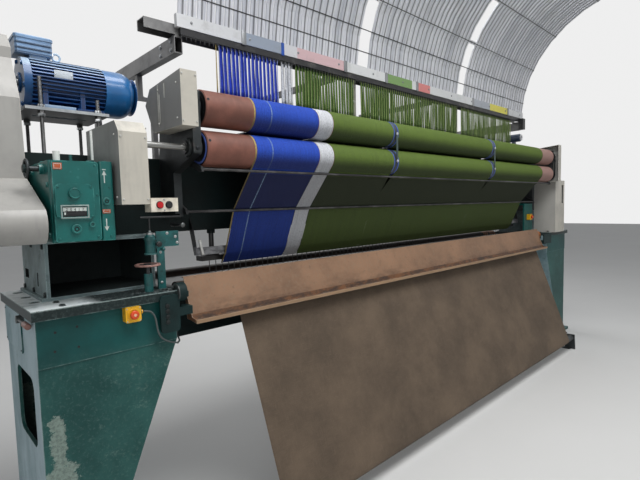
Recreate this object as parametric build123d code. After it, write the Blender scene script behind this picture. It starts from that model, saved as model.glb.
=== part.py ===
from build123d import *
import math
import os

# Tufting machine, in millimetres: X runs along the machine, Y to its back, Z up from the floor.

# Legs and feet
leg_inner_x = 2240.0
leg_width = 560.0
leg_front_y = 25.0
leg_depth = 575.0
leg_top_z = 1230.0
leg_plate = 40.0
leg_plate_lip = 20.0
leg_wall = 14.0
leg_taper_top = 1000.0
leg_taper_bottom = 200.0
leg_foot_width = 240.0
leg_step = 4.0
foot_plate = 30.0
foot_margin = 50.0
foot_hole_r = 11.0
foot_hole_inset_x = 25.0
foot_hole_inset_y = 70.0
leg_window = (310.0, 290.0)
leg_window_center = (280.0, 792.0)
leg_window_r = 48.0
leg_door_y = (262.0, 590.0)
leg_door_z = (1010.0, 1178.0)
leg_door_thick = 6.0
leg_door_r = 22.0
leg_hole_deep = 16.0
leg_hole_r = 20.0
leg_hole_ys = (207.0, 365.0, 530.0)
leg_hole_inset = 40.0

# Bed
bed_front_y = 180.0
bed_back_y = 600.0
bed_bottom_z = 900.0
bed_trough_z = 1088.0
bed_box_front_y = 380.0
bed_top_z = 1190.0
bed_wall = 12.0
bed_plate = 10.0
needle_y = 300.0
needle_slot = 30.0
needle_pitch = 40.0
needle_count = 96
finger_width = 8.0

# Head
head_front_y = 300.0
head_back_y = 800.0
head_bottom_z = 1480.0
head_top_z = 1850.0
head_half = 2752.0
head_wall = 14.0
main_y = 460.0
main_z = head_top_z - 170.0
main_r = 40.0
eccentric_r = 70.0
eccentric_throw = 16.0
eccentric_width = 60.0
rod_y = 340.0
rod_r = 14.0
rod_top_z = 1590.0
rod_spacing = 620.0
rod_count = 7
rod_bush = 8.0
rod_bush_long = 22.0

# Needle bar
needle_bar_half = 1950.0
needle_bar_y = (290.0, 354.0)
needle_bar_z = (1310.0, 1336.0)
needle_size = 3.0
needle_tip_z = 1225.0
clamp_half = 26.0
clamp_y = (304.0, 362.0)
clamp_high = 30.0

# Looper shaft
looper_y = 330.0
looper_z = 1136.0
looper_shaft_r = 15.0
looper_block = 90.0
looper_pitch = 110.0
looper_count = 34
looper_outline = ((-26.0, -12.0), (10.0, -12.0), (8.0, 22.0), (-12.0, 32.0), (-16.0, 46.0), (-30.0, 42.0))
looper_bearing_thick = 20.0
looper_bearing_rise = 30.0

# End frames between leg and head
end_outer_x = 2720.0
end_inner_x = 2262.0
end_front_y = 180.0
end_wall = 14.0
end_flange = 18.0
end_slot = (322.0, 1308.0, 22.0, 62.0)
end_square = (524.0, 1318.0, 76.0, 42.0)

# Yarn rollers
roller_half = 2100.0
roller_d = 168.0
upper_z = 2060.0
lower_z = 1876.0
journal_r = 30.0
thin_journal_r = 14.0
thin_journal_x = -2176.0
roller_end_x = 2215.0
lower_end_x = -2455.0
left_sprocket_x = -2446.0
right_sprocket_x = 2190.0
hanger_x = 700.0
hanger_width = 22.0
neck_width = 30.0
ring_r = 84.0
bearing_fit = 0.05
strap_y = 288.0
strap_width = 50.0
strap_bottom_z = 1760.0
web_z = (1886.0, 2050.0)
web_front_y = 40.0
web_spread = 60.0
web_thick = 12.0
cover_edge = 5.0

# Roller brackets
bracket_x = (2118.0, 2158.0)
bracket_front_y = -58.0
bracket_nose_z = 1846.0
bracket_foot_y = 150.0
bracket_foot_z = 1560.0
bracket_knee_z = 1768.0
bracket_round = 12.0
bracket_boss_r = 44.0
bracket_boss = 12.0
bracket_head_z = 2130.0
bracket_back_y = 120.0
bracket_horn = 18.0

# Yarn guides
rod_one = (-38.0, 1777.0)
rod_two = (130.0, 1582.0)
guide_r = 7.0
rod_one_reach = (86.0, 1822.0)
rod_two_reach = (212.0, 1625.0)
return_rod = (200.0, 1968.0)
return_r = 6.0
top_bar = (240.0, 2165.0)
top_bar_r = 10.0
guide_half = 2106.0
holder = 6.0
holder_edge = 12.0
strip_y = 240.0
strip_z = (1350.0, 1390.0)
strip_x = (-2010.0, 1962.0)
strip_thick = 4.0
strip_flange = 22.0
strip_arm_rise = 70.0

# Yarn
yarn = 1.5
yarn_gap = 0.5
strand = 3.0
strand_pitch = 26.0
strand_top_z = 2472.0
strand_root_z = 2215.0
yarn_end = (281.0, 1292.0)
edge_band = (-1839.0, -1830.0)
blue_band = (-1829.0, -1404.0)
white_band = (-1400.0, -1290.0)
green_bands = ((-1286.0, -726.0), (-674.0, 674.0), (726.0, 1790.0))

# Header
header_x = (-2060.0, 2060.0)
channel_x = (-2217.0, 2085.0)
channel_y = (262.0, 342.0)
channel_z = (2474.0, 2524.0)
channel_wall = 5.0
board_y = (236.0, 262.0)
board_z = (2507.0, 2572.0)
comb_z = (2472.0, 2507.0)
comb_y = (240.0, 262.0)
beam_x = (2022.0, 2066.0)
beam_y = (262.0, 1150.0)
beam_z = (2384.0, 2466.0)
beam_wall = 5.0
cleat_inset = 6.0
rail_y = (755.0, 785.0)
rail_z = (2240.0, 2260.0)
rail_x = (1950.0, 2300.0)
post_width = 30.0
inner_beams = (-932.0, 246.0)
inner_beam_y = (262.0, 1060.0)
inner_beam_z = (2428.0, 2466.0)
inner_beam = 38.0
end_box_x = (1958.0, 2018.0)
end_box_deep = 44.0
end_box_z = (2380.0, 2496.0)

# Yarn tubes
tube_width = 46.0
tube_thick = 9.0
tube_pitch = 54.0
tube_count = 76
tube_gaps = (-648.0, 702.0)
arch_center = (-850.0, 2500.0)
arch_r = 1099.0
arch_end = 74.0
arch_steps = 7
tube_ribs = ((9.0, 5.0), (16.5, 5.0), (27.5, 26.0), (47.0, 26.0), (71.0, 30.0))
rib_thick = 5.0
rib_bite = 3.0

# Gearbox
gear_x = (-2730.0, -2510.0)
gear_y = (-20.0, 300.0)
gear_z = (1480.0, 1790.0)
gear_strip_x = -2561.0
gear_front_y = -48.0
gear_round = 10.0
gear_boss_r = 20.0
gear_boss = 14.0
gear_bore = 30.0
cover_inset = 4.0
pad_x = (-2722.0, -2588.0)
pad_z = (1569.0, 1700.0)
pad_proud = 8.0
pad_round = 22.0
window_x = (-2700.0, -2616.0)
window_z = (1577.0, 1616.0)
window_deep = 20.0
wheel_r = 13.0
digit_wheels = 5
cap_at = (-2658.0, 1665.0)
cap_r = 20.0
plugs = ((-2656.0, 1531.0, 16.0), (-2599.0, 1546.0, 9.0), (-2542.0, 1634.0, 13.0))
plug_proud = 7.0
top_cap = (-2695.0, 4.0, 12.0, 36.0)
top_plug = (-2646.0, 4.0, 6.0, 26.0)
breather = (-2556.0, 40.0, 5.0, 130.0)
output_y = 60.0
output_z = lower_z - 176.0
output_r = 16.0
output_end_x = -2405.0
output_bore = 60.0
small_sprocket_r = 42.0
large_sprocket_r = 56.0
sprocket_width = 16.0
chain_thick = 9.0
chain_gap = 0.4
gear_wheel_y = 65.0
gear_wheel_z = 1762.0
gear_wheel_r = 38.0
gear_wheel_x = -2784.0
gear_shaft_r = 10.0
wheel_rim = 5.0

# Guards
sheet = 3.0
low_guard_x = (2380.0, 2495.0)
low_guard_y = (-85.0, 300.0)
low_guard_z = (1620.0, 1955.0)
low_guard_chamfer = 45.0
guard_hole = 4.0
up_guard_x = (2158.0, 2235.0)
up_guard_front = -112.0
up_guard_z = (1955.0, 2190.0)
right_guard_z = 1798.0
up_guard_back = ((198.0, 28.0), (252.0, 96.0), 174.0)
box_guard_x = (2262.0, 2540.0)
box_guard_front = -50.0
box_guard_top = 1812.0
box_guard_slot = (190.0, 240.0, 1555.0, 1760.0)
belt_guard_x = (-head_half - 298.0, -head_half)
belt_guard_top_y = (400.0, 725.0)
belt_guard_rise = 143.0
belt_guard_back = ((860.0, 1720.0), (775.0, 2290.0))
belt_guard_front = ((350.0, 2285.0), (350.0, 2240.0), (250.0, 2060.0), (232.0, 1828.0))
belt_guard_nose = ((225.0, 1734.0), (-44.0, 1606.0), (-62.0, 1538.0), -8.0)
belt_guard_hole = 16.0

# Motor
motor_y = 600.0
motor_z = 2205.0
motor_core_r = 104.0
motor_fin_r = 121.0
fin_pitch = 17.0
fin_thick = 4.5
motor_x = (-2650.0, -2330.0)
shield_x = -2682.0
shield_r = 117.0
motor_foot_drop = 132.0
motor_base = 14.0
motor_foot_long = 120.0
motor_foot_half = 126.0
motor_foot_thick = 16.0
motor_foot_inset = 20.0
motor_foot_web = 20.0
motor_neck_x = (-2640.0, -2568.0)
motor_neck_half = 40.0
motor_bore = 120.0
motor_base_slot = (60.0, 20.0)
eye_x = -2520.0
eye_r = 17.0
eye_thick = 5.0
eye_stem_r = 8.0
motor_base_x = (-2698.0, -2341.0)
motor_base_y = (436.0, 764.0)
fan_cover_x = (-2330.0, -2168.0)
fan_cover_r = 119.0
fan_cover_bend = 0.64
fan_slot = (8.0, 6.0)
fan_slot_ring = (18.0, 12.0)
stud_r = 8.0
stud_xs = (-2632.0, -2388.0)
stud_ys = (453.0, 747.0)
stud_tops_z = (2210.0, 2136.0)
nut_r = 15.0
nut_h = 13.0
terminal_x = (-2700.0, -2548.0)
terminal_y = (540.0, 664.0)
terminal_z = (2330.0, 2414.0)
terminal_lip = 4.0
terminal_lid = 16.0
terminal_ridges = (22.0, 46.0)
terminal_ridge = 7.0
motor_shaft_r = 19.0
motor_pulley_r = 90.0
main_pulley_r = 150.0
pulley_x = (-head_half - 212.0, -head_half - 128.0)
shaft_end_x = -head_half - 238.0
belt_width = 17.0
belt_thick = 9.0
belt_gap = 0.4
belts = 3

# Cloth feed
feed_r = 48.0
feed_journal_r = 20.0
front_feed = (125.0, 1200.0)
rear_feed = (655.0, 1190.0)
feed_half = 2190.0
feed_end = 2226.0
feed_bearing_thick = 30.0
front_bearing = ((-34.0, -40.0), (40.0, -60.0), (40.0, 34.0), (-34.0, 34.0))
rear_bearing = ((34.0, -30.0), (34.0, 20.0), (20.0, 34.0))
rear_bearing_z = (-44.0, 34.0)

# Backing cloth and its floor bar
cloth = 3.0
cloth_half = 1900.0
floor_bar = (-300.0, 120.0)
floor_bar_r = 30.0
floor_bar_half = 2040.0
floor_arm = 14.0
floor_arm_spread = (44.0, 60.0)
floor_arm_top = 36.0
floor_tie = (120.0, 60.0, 30.0)
soft_gap = 0.3

# Apron
apron_x = (-2175.0, 2050.0)
apron_top = (66.0, 1272.0)
apron_foot = (0.0, 1078.0)
apron_ledge = 44.0
apron_lip = 14.0
apron_sheet = 4.0
apron_ledge_drop = 6.0
apron_top_fold = 20.0

# Controls
button_box_x = (-low_guard_x[0], -2262.0)
button_box_y = (-92.0, -28.0)
button_box_z = (1587.0, 1645.0)
button_r = 13.0
button_bore = (0.5, 30.0)
button_proud = 7.0
button_stem = 18.0
button_xs = (-2343.0, -2303.0)
button_z = 1616.0
button_tab = 40.0
stop_box = 66.0
stop_box_deep = 36.0
stop_box_r = 8.0
left_stop = (-2446.0, 1156.0)
right_stop = (2088.0, 1410.0)
mushroom_r = 19.0
mushroom_thick = 9.0
mushroom_gap = 6.0
stop_stem_r = 11.0
stop_stem = 20.0
mushroom_travel = 5.0
lube_x = -2312.0
lube_y = 100.0
lube_r = 23.0
lube_z = (1393.0, 1484.0)
post_x = (-2284.0, -2248.0)
flag_x = -2176.0
flag_z = (1424.0, 1496.0)
lube_rod_x = (-2352.0, -2158.0)
lube_rod_z = 1562.0
lube_rod_r = 5.0
lube_dome = 12.0
lube_ring = 4.0
post_half = 6.0
knob_r = 9.0
knob_off = 34.0
lube_clamp_z = (1420.0, 1450.0)
panel_x = (1990.0, 2200.0)
panel_thick = 16.0
bed_wheel = (-2341.0, 69.0)
bed_wheel_z = 1350.0
bed_wheel_r = 56.0
bed_pillar_r = 19.0
bed_pillar_drop = 40.0
bed_shaft_r = 9.0
bed_shaft_long = 80.0
lever_at = (228.0, 1168.0)
lever_r = 6.0
lever_length = 118.0
lever_grip = 66.0
lever_grip_r = 12.0
lever_hub_r = 16.0
lever_pin_r = 8.0
lever_off = 18.0
small_motor_at = (2200.0, 2322.0)
small_motor_edge = 7.0
small_motor_y = (318.0, 470.0)
small_motor_r = 44.0
small_motor_post = 34.0
apron_plate_x = (-2328.0, -2238.0)
apron_plate_z = (1045.0, 1214.0)
apron_plate_r = 20.0
apron_plate_thick = 12.0
apron_holes_x = -2296.0
apron_holes_z = (1094.0, 1118.0, 1143.0, 1167.0)
apron_hole_r = 5.0
apron_spacer_z = (1060.0, 1084.0)
apron_arm_z = (1112.0, 1150.0)
hub_r = 43.0
hub_at = (14.0, 1218.0)
hub_x = (-2238.0, -2204.0)
hub_arm_y = (20.0, 60.0)
hub_arm_z = (1188.0, 1214.0)
cable_d = 8.0
cable_gland = (9.0, 16.0)
cable_route = (
    (-2404.0, 2.0, 1160.0),
    (-2378.0, 1.0, 1159.0),
    (-2360.0, -1.0, 1147.0),
    (-2348.0, -3.0, 1120.0),
    (-2345.0, -5.0, 1082.0),
    (-2340.0, -6.0, 1050.0),
    (-2322.0, -1.0, 1022.0),
    (-2286.0, 8.0, 998.0),
    (-2246.0, 18.0, 984.0),
    (-2224.0, 52.0, 970.0),
    (-2200.0, 104.0, 957.0),
    (-2168.0, 148.0, 950.0),
    (-2160.0, 184.0, 962.0),
    (-2158.0, 202.0, 996.0),
    (-2160.0, 204.0, 1040.0),
    (-2160.0, 204.0, 1072.0),
)


def block(x, y, z):
    """Box between two values on each axis."""
    sizes = [abs(high - low) for low, high in (x, y, z)]
    middles = [(low + high) / 2 for low, high in (x, y, z)]
    return Pos(*middles) * Box(*sizes)


def prism_x(points, x):
    """Outline in Y and Z, drawn out along X."""
    face = make_face(Polyline(*points, close=True))
    return Pos(min(x), 0, 0) * extrude(Plane.YZ * face, abs(x[1] - x[0]))


def prism_y(points, y):
    """Outline in X and Z, drawn out along Y."""
    plane = Plane(origin=(0, max(y), 0), x_dir=(1, 0, 0), z_dir=(0, -1, 0))
    face = make_face(Polyline(*points, close=True))
    return extrude(plane * face, abs(y[1] - y[0]))


def bar_x(radius, x, at):
    """Round bar along X at a Y and Z."""
    middle = (x[0] + x[1]) / 2
    return Pos(middle, at[0], at[1]) * Rot(0, 90, 0) * Cylinder(radius, abs(x[1] - x[0]))


def bar_y(radius, y, at):
    """Round bar along Y at an X and Z."""
    middle = (y[0] + y[1]) / 2
    return Pos(at[0], middle, at[1]) * Rot(90, 0, 0) * Cylinder(radius, abs(y[1] - y[0]))


def bar_z(radius, z, at):
    """Round bar along Z at an X and Y."""
    return Pos(at[0], at[1], (z[0] + z[1]) / 2) * Cylinder(radius, abs(z[1] - z[0]))


def mirrored(solid):
    """The same piece at the machine's other end."""
    return mirror(solid, about=Plane.YZ)


def flip(x):
    """A span along X at the other end."""
    return (-x[1], -x[0])


def tangent_angle(first, second):
    """Direction of the straight run between two round stations of a path."""
    dy = second[0] - first[0]
    dz = second[1] - first[1]
    turn = (first[3] * first[2] - second[3] * second[2]) / math.hypot(dy, dz)
    return math.atan2(dz, dy) + math.asin(turn)


def leave_point(station, angle):
    """Point of a round station where a run with this direction touches it."""
    reach = station[3] * station[2]
    return (station[0] + reach * math.sin(angle), station[1] - reach * math.cos(angle))


def arc_between(station, start, end):
    """Arc round a station from one touching point to the next."""
    first = math.atan2(start[1] - station[1], start[0] - station[0])
    last = math.atan2(end[1] - station[1], end[0] - station[0])
    if station[3] > 0:
        sweep = (last - first) % (2 * math.pi)
    else:
        sweep = -((first - last) % (2 * math.pi))
    middle = first + sweep / 2
    through = (station[0] + station[2] * math.cos(middle), station[1] + station[2] * math.sin(middle))
    return ThreePointArc(start, through, end)


def path_edges(stations, closed=False):
    """Runs and arcs round stations given as Y, Z, radius and turning side."""
    pairs = list(zip(stations, stations[1:]))
    if closed:
        pairs.append((stations[-1], stations[0]))
    angles = [tangent_angle(first, second) for first, second in pairs]
    edges = []
    for (first, second), angle in zip(pairs, angles):
        edges.append(Line(leave_point(first, angle), leave_point(second, angle)))
    rounds = range(len(pairs)) if closed else range(1, len(pairs))
    for index in rounds:
        station = pairs[index][0]
        start = leave_point(station, angles[index - 1])
        end = leave_point(station, angles[index])
        edges.append(arc_between(station, start, end))
    return edges


def loop_face(first, first_r, second, second_r):
    """Face inside a belt line round two circles."""
    edges = path_edges([(*first, first_r, 1), (*second, second_r, 1)], closed=True)
    return make_face(edges)


def belt_loop(first, first_r, second, second_r, thick, x):
    """Closed belt or chain round two wheels."""
    outer = loop_face(first, first_r + thick, second, second_r + thick)
    inner = loop_face(first, first_r, second, second_r)
    return Pos(min(x), 0, 0) * extrude(Plane.YZ * (outer - inner), abs(x[1] - x[0]))


def shell_box(x, y, z, wall, open_sides=()):
    """Sheet-metal box with some sides left open."""
    inner = {"x": [x[0] + wall, x[1] - wall], "y": [y[0] + wall, y[1] - wall], "z": [z[0] + wall, z[1] - wall]}
    for side in open_sides:
        low = side.startswith("-")
        inner[side[1]][0 if low else 1] += (-2 if low else 2) * wall
    return block(x, y, z) - block(inner["x"], inner["y"], inner["z"])


def leg():
    """Left leg: welded box with a tapering front, a stepped face and an end opening."""
    outer_x = -(leg_inner_x + leg_width)
    inner_x = -leg_inner_x
    foot_x = outer_x + leg_foot_width
    body_top = leg_top_z - leg_plate
    back_y = leg_front_y + leg_depth

    def outline(margin):
        """Front outline, drawn in by a wall."""
        low = foot_plate + margin
        return (
            (outer_x + margin, low),
            (foot_x - margin, low),
            (foot_x - margin, leg_taper_bottom),
            (inner_x - margin, leg_taper_top),
            (inner_x - margin, body_top - margin),
            (outer_x + margin, body_top - margin),
        )

    body = prism_y(outline(0), (leg_front_y, back_y))
    face_cut = block((outer_x - 1, inner_x + 1), (leg_front_y - 1, leg_front_y + leg_step), (0, leg_taper_top))
    body -= face_cut
    body -= prism_y(outline(leg_wall), (leg_front_y + leg_wall, back_y - leg_wall))
    plate_x = (outer_x - leg_plate_lip * 0.75, inner_x)
    plate = block(plate_x, (leg_front_y - leg_plate_lip - 5, back_y + leg_plate_lip), (body_top, leg_top_z))
    body += plate
    for hole_y in leg_hole_ys:
        body -= bar_z(leg_hole_r, (leg_top_z - leg_hole_deep, leg_top_z), (outer_x + leg_hole_inset, hole_y))
    window = Pos(outer_x, *leg_window_center) * Rot(0, 90, 0) * Rot(0, 0, 90)
    cutter = RectangleRounded(leg_window[0], leg_window[1], leg_window_r)
    body -= window * Pos(0, 0, -leg_wall * 2) * extrude(cutter, leg_wall * 4)
    door_middle = (sum(leg_door_y) / 2, sum(leg_door_z) / 2)
    door = RectangleRounded(leg_door_z[1] - leg_door_z[0], leg_door_y[1] - leg_door_y[0], leg_door_r)
    door_at = Pos(outer_x - leg_door_thick, *door_middle) * Rot(0, 90, 0)
    body += door_at * extrude(door, leg_door_thick)
    foot_x_span = (outer_x - foot_margin, foot_x + foot_margin)
    foot_y_span = (leg_front_y - leg_plate_lip * 2, back_y + leg_plate_lip * 2)
    foot = block(foot_x_span, foot_y_span, (0, foot_plate))
    for hole_x in (foot_x_span[0] + foot_hole_inset_x, foot_x_span[1] - foot_hole_inset_x):
        for hole_y in (foot_y_span[0] + foot_hole_inset_y, foot_y_span[1] - foot_hole_inset_y):
            foot -= bar_z(foot_hole_r, (-1, foot_plate + 1), (hole_x, hole_y))
    return body + foot


def bed_beam():
    """Bed: a box girder at the back and the looper trough in front of it."""
    x = (-leg_inner_x, leg_inner_x)
    back = (bed_box_front_y, bed_back_y)
    girder = shell_box(x, back, (bed_bottom_z, bed_top_z), bed_wall, ("-x", "+x"))
    floor = block(x, (bed_front_y, bed_box_front_y), (bed_trough_z, bed_trough_z + bed_wall))
    front = block(x, (bed_front_y, bed_front_y + bed_wall), (bed_trough_z, bed_top_z))
    beam = girder + floor + front
    inset = looper_bearing_rise
    for end_x in (-leg_inner_x + inset, leg_inner_x - inset - looper_bearing_thick):
        beam += block((end_x, end_x + looper_bearing_thick), (bed_front_y + bed_wall, bed_box_front_y),
                      (bed_trough_z + bed_wall, looper_z + looper_bearing_rise))
    beam -= bar_x(looper_shaft_r + bearing_fit, x, (looper_y, looper_z))
    end = cable_route[-1]
    return beam + bar_z(cable_gland[0], (end[2], bed_trough_z), (end[0], end[1]))


def bed_plate_piece():
    """Bed plate with reed fingers across the needle slot."""
    z = (bed_top_z, bed_top_z + bed_plate)
    x = (-leg_inner_x, leg_inner_x)
    slot_y = (needle_y - needle_slot / 2, needle_y + needle_slot / 2)
    span = needle_pitch * needle_count / 2
    plate = block(x, (bed_front_y, bed_back_y), z) - block((-span, span), slot_y, z)
    fingers = []
    for index in range(1, needle_count):
        middle = -span + index * needle_pitch
        fingers.append(block((middle - finger_width / 2, middle + finger_width / 2), slot_y, z))
    return plate + fingers


def head_beam():
    """Head: long hollow housing of the main shaft, with bushes for the push rods."""
    x = (-head_half, head_half)
    head = shell_box(x, (head_front_y, head_back_y), (head_bottom_z, head_top_z), head_wall)
    head -= bar_x(main_r + bearing_fit, x, (main_y, main_z))
    for rod_x in rod_places():
        head += bar_z(rod_r + rod_bush, (head_bottom_z - rod_bush_long, head_bottom_z), (rod_x, rod_y))
        bore_z = (head_bottom_z - rod_bush_long - 1, head_bottom_z + head_wall + 1)
        head -= bar_z(rod_r + bearing_fit, bore_z, (rod_x, rod_y))
    return head


def rod_places():
    """Places of the push rods along the machine."""
    return [(index - (rod_count - 1) / 2) * rod_spacing for index in range(rod_count)]


def end_frame():
    """Left upright between leg and head: open to the front, slotted in its side."""
    x = (-end_outer_x, -end_inner_x)
    frame = shell_box(x, (end_front_y, bed_back_y), (leg_top_z, head_bottom_z), end_wall, ("-y",))
    frame += block((x[0] - end_flange, x[0]), (end_front_y, bed_back_y), (leg_top_z, leg_top_z + end_wall))
    for hole_y, hole_z, wide, tall in (end_slot, end_square):
        frame -= block((x[0] - 1, x[0] + end_wall + 1), (hole_y - wide / 2, hole_y + wide / 2),
                       (hole_z - tall / 2, hole_z + tall / 2))
    return frame


def roller(axis_z, left_end, right_end, sprockets):
    """Yarn roller in three covered sections with necks in the hangers and a sprocket at an end."""
    axis = (0.0, axis_z)
    neck = neck_width / 2
    sections = (
        (-roller_half, -hanger_x - neck),
        (-hanger_x + neck, hanger_x - neck),
        (hanger_x + neck, roller_half),
    )
    thick_end = max(left_end, thin_journal_x)
    body = bar_x(journal_r, (thick_end, right_end), axis)
    if left_end < thick_end:
        body += bar_x(thin_journal_r, (left_end, thick_end), axis)
    for section in sections:
        cover = bar_x(roller_d / 2, section, axis)
        body += chamfer(cover.edges().filter_by(GeomType.CIRCLE), cover_edge)
    for sprocket_x in sprockets:
        body += bar_x(large_sprocket_r, (sprocket_x, sprocket_x + sprocket_width), axis)
    return body


def hanger(middle):
    """Hanger between roller sections: strap, web and two bearing rings."""
    x = (middle - hanger_width / 2, middle + hanger_width / 2)
    strap_x = (middle - strap_width / 2, middle + strap_width / 2)
    piece = block(strap_x, (strap_y, head_front_y), (strap_bottom_z, channel_z[1] - channel_wall))
    web = (
        (strap_y, web_z[1] + web_spread), (web_front_y, web_z[1]),
        (web_front_y, web_z[0]), (strap_y, web_z[0] - web_spread),
    )
    piece += prism_x(web, (middle - web_thick / 2, middle + web_thick / 2))
    for axis_z in (upper_z, lower_z):
        piece += bar_x(ring_r, x, (0, axis_z))
    for axis_z in (upper_z, lower_z):
        piece -= bar_x(journal_r + bearing_fit, strap_x, (0, axis_z))
    return piece - bar_x(return_r + yarn_gap, strap_x, return_rod)


def roller_bracket():
    """Left roller bracket: cast plate on the head with bored bosses for both rollers."""
    front = bracket_front_y
    horn = bracket_horn
    outline = (
        (front, bracket_head_z), (front, bracket_nose_z),
        (bracket_foot_y, bracket_knee_z), (bracket_foot_y, bracket_foot_z),
        (head_front_y, bracket_foot_z), (head_front_y, head_top_z),
        (top_bar[0] + horn, top_bar[1] - horn), (top_bar[0] + horn, top_bar[1] + horn),
        (top_bar[0] - horn, top_bar[1] + horn), (bracket_back_y, bracket_head_z),
    )
    x = flip(bracket_x)
    plate = prism_x(outline, x)
    plate = fillet(plate.edges().filter_by(Axis.X).sort_by(Axis.Y)[:2], bracket_round)
    for axis_z in (upper_z, lower_z):
        boss_x = (x[0] - (bracket_boss if axis_z == lower_z else 0), x[1])
        plate += bar_x(bracket_boss_r, boss_x, (0, axis_z))
        plate -= bar_x(journal_r + bearing_fit, (boss_x[0] - 1, x[1] + 1), (0, axis_z))
    return plate


def guide_rods():
    """Two front rods on end plates, the return rod between the rollers and the top bar."""
    x = (-guide_half, guide_half)
    inner = bracket_x[0]
    edge = holder_edge
    front_rods = []
    for at, reach in ((rod_one, rod_one_reach), (rod_two, rod_two_reach)):
        rod = bar_x(guide_r, x, at)
        arm = (
            (at[0] - edge, at[1] - edge), (at[0] + edge, at[1] - edge), (reach[0] + edge, reach[1] - edge),
            (reach[0], reach[1] + edge), (at[0] - edge / 3, at[1] + edge),
        )
        for side in ((-inner, -inner + 2 * holder), (inner - 2 * holder, inner)):
            rod += prism_x(arm, side)
        front_rods.append(rod)
    back_rod = bar_x(return_r, (-inner, inner), return_rod)
    bar = bar_x(top_bar_r, (-inner, inner), top_bar)
    return front_rods + [back_rod, bar]


def guide_strip():
    """Yarn guide strip in front of the needles, on arms from the head."""
    strip = block(strip_x, (strip_y, strip_y + strip_thick), strip_z)
    strip += block(strip_x, (strip_y, strip_y + strip_flange), (strip_z[1] - strip_thick, strip_z[1]))
    for arm_x in (strip_x[0], strip_x[1] - holder):
        arm = (
            (strip_y, strip_z[0]), (strip_y + strip_flange, strip_z[0]), (head_front_y, head_bottom_z),
            (head_front_y, head_bottom_z + strip_arm_rise), (strip_y + strip_flange, head_bottom_z),
            (strip_y, strip_z[1]),
        )
        strip += prism_x(arm, (arm_x, arm_x + holder))
    return strip


def yarn_stations():
    """Stations that the yarn passes, from the top guide bar to the needles."""
    lift = yarn_gap + yarn / 2
    roller_path = roller_d / 2 + lift
    return [
        (top_bar[0] + top_bar_r + lift, strand_root_z, 0.0, 1),
        (*top_bar, top_bar_r + lift, -1),
        (0.0, upper_z, roller_path, 1),
        (*return_rod, return_r + lift, -1),
        (0.0, lower_z, roller_path, 1),
        (*rod_one, guide_r + lift, -1),
        (*rod_two, guide_r + lift, -1),
        (strip_y + 2, strip_z[0], 2 + lift, 1),
        (*yarn_end, 0.0, 1),
    ]


def yarn_band(x):
    """One colour of yarn: strands from the comb, joined to the flat sheet at the top bar."""
    stations = yarn_stations()
    path = Wire([Plane.YZ * edge for edge in path_edges(stations)])
    start = (stations[0][0], strand_root_z)
    middle = (x[0] + x[1]) / 2
    section = Plane(origin=(middle, start[0], start[1]), x_dir=(1, 0, 0), z_dir=(0, 0, -1))
    path = path.moved(Pos(middle, 0, 0))
    sheet_part = sweep(section * Rectangle(x[1] - x[0], yarn), path=path)
    count = max(1, round((x[1] - x[0]) / strand_pitch))
    pitch = (x[1] - x[0]) / count
    strands = []
    for index in range(count):
        place = x[0] + (index + 0.5) * pitch
        strand_y = (start[0] - yarn / 2, start[0] + yarn / 2)
        strands.append(block((place - strand / 2, place + strand / 2), strand_y, (strand_root_z, strand_top_z)))
    return sheet_part + strands


def header_channel():
    """Channel that carries the header, open below."""
    y = (channel_y[0] + channel_wall, channel_y[1] - channel_wall)
    z = (channel_z[0] - 1, channel_z[1] - channel_wall)
    return block(channel_x, channel_y, channel_z) - block(channel_x, y, z)


def header_board():
    """Header board with the comb under it."""
    board = block(header_x, board_y, board_z)
    comb = block((header_x[0] + 20, header_x[1] - 20), comb_y, comb_z)
    return board + comb


def header_frame():
    """Left header frame: box beam on a post, a rail and two legs that stand on the head."""
    x = flip(beam_x)
    beam = shell_box(x, beam_y, beam_z, beam_wall, ("-y", "+y"))
    beam += block((x[0] + cleat_inset, x[1] - cleat_inset), channel_y, (beam_z[1], channel_z[0]))
    middle = (x[0] + x[1]) / 2
    half = post_width / 2
    beam += block((middle - half, middle + half), rail_y, (rail_z[1], beam_z[0]))
    rail = flip(rail_x)
    beam += block(rail, rail_y, rail_z)
    for leg_x in (rail[0], rail[1] - post_width):
        beam += block((leg_x, leg_x + post_width), rail_y, (head_top_z, rail_z[0]))
    return beam


def inner_header_frame(middle):
    """Header arm between the end frames, on a post that stands on the head."""
    x = (middle - inner_beam / 2, middle + inner_beam / 2)
    arm = block(x, inner_beam_y, inner_beam_z)
    arm += block(x, channel_y, (inner_beam_z[1], channel_z[0]))
    return arm + block(x, rail_y, (head_top_z, inner_beam_z[0]))


def yarn_tubes():
    """Bank of yarn tubes on curved ribs, rising from the header and arching forwards."""

    def along(angle, radius):
        """Point of the arch."""
        turn = math.radians(angle)
        return (arch_center[0] + radius * math.cos(turn), arch_center[1] + radius * math.sin(turn))

    def side(radius):
        """Points of one side of a tube, from the board up."""
        first = math.degrees(math.asin((board_z[1] - arch_center[1]) / radius))
        return [along(first + (arch_end - first) * step / arch_steps, radius) for step in range(arch_steps + 1)]

    half = tube_thick / 2
    outline = side(arch_r + half) + side(arch_r - half)[::-1]
    tube = prism_x(outline, (-tube_width / 2, tube_width / 2))
    start = -tube_pitch * (tube_count - 1) / 2
    places = [start + index * tube_pitch for index in range(tube_count)]
    tubes = [Pos(x, 0, 0) * tube for x in places if min(abs(x - gap) for gap in tube_gaps) > tube_pitch]
    rib_x = (start - tube_width / 2, -start + tube_width / 2)
    ribs = []
    for angle, rib_high in tube_ribs:
        center = along(angle, arch_r - half - rib_thick / 2)
        plane = Plane(origin=(rib_x[0], center[0], center[1]), x_dir=(0, math.cos(math.radians(angle)),
                      math.sin(math.radians(angle))), z_dir=(1, 0, 0))
        ribs.append(extrude(plane * Rectangle(rib_thick + rib_bite, rib_high), rib_x[1] - rib_x[0]))
    return Part() + tubes + ribs


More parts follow.
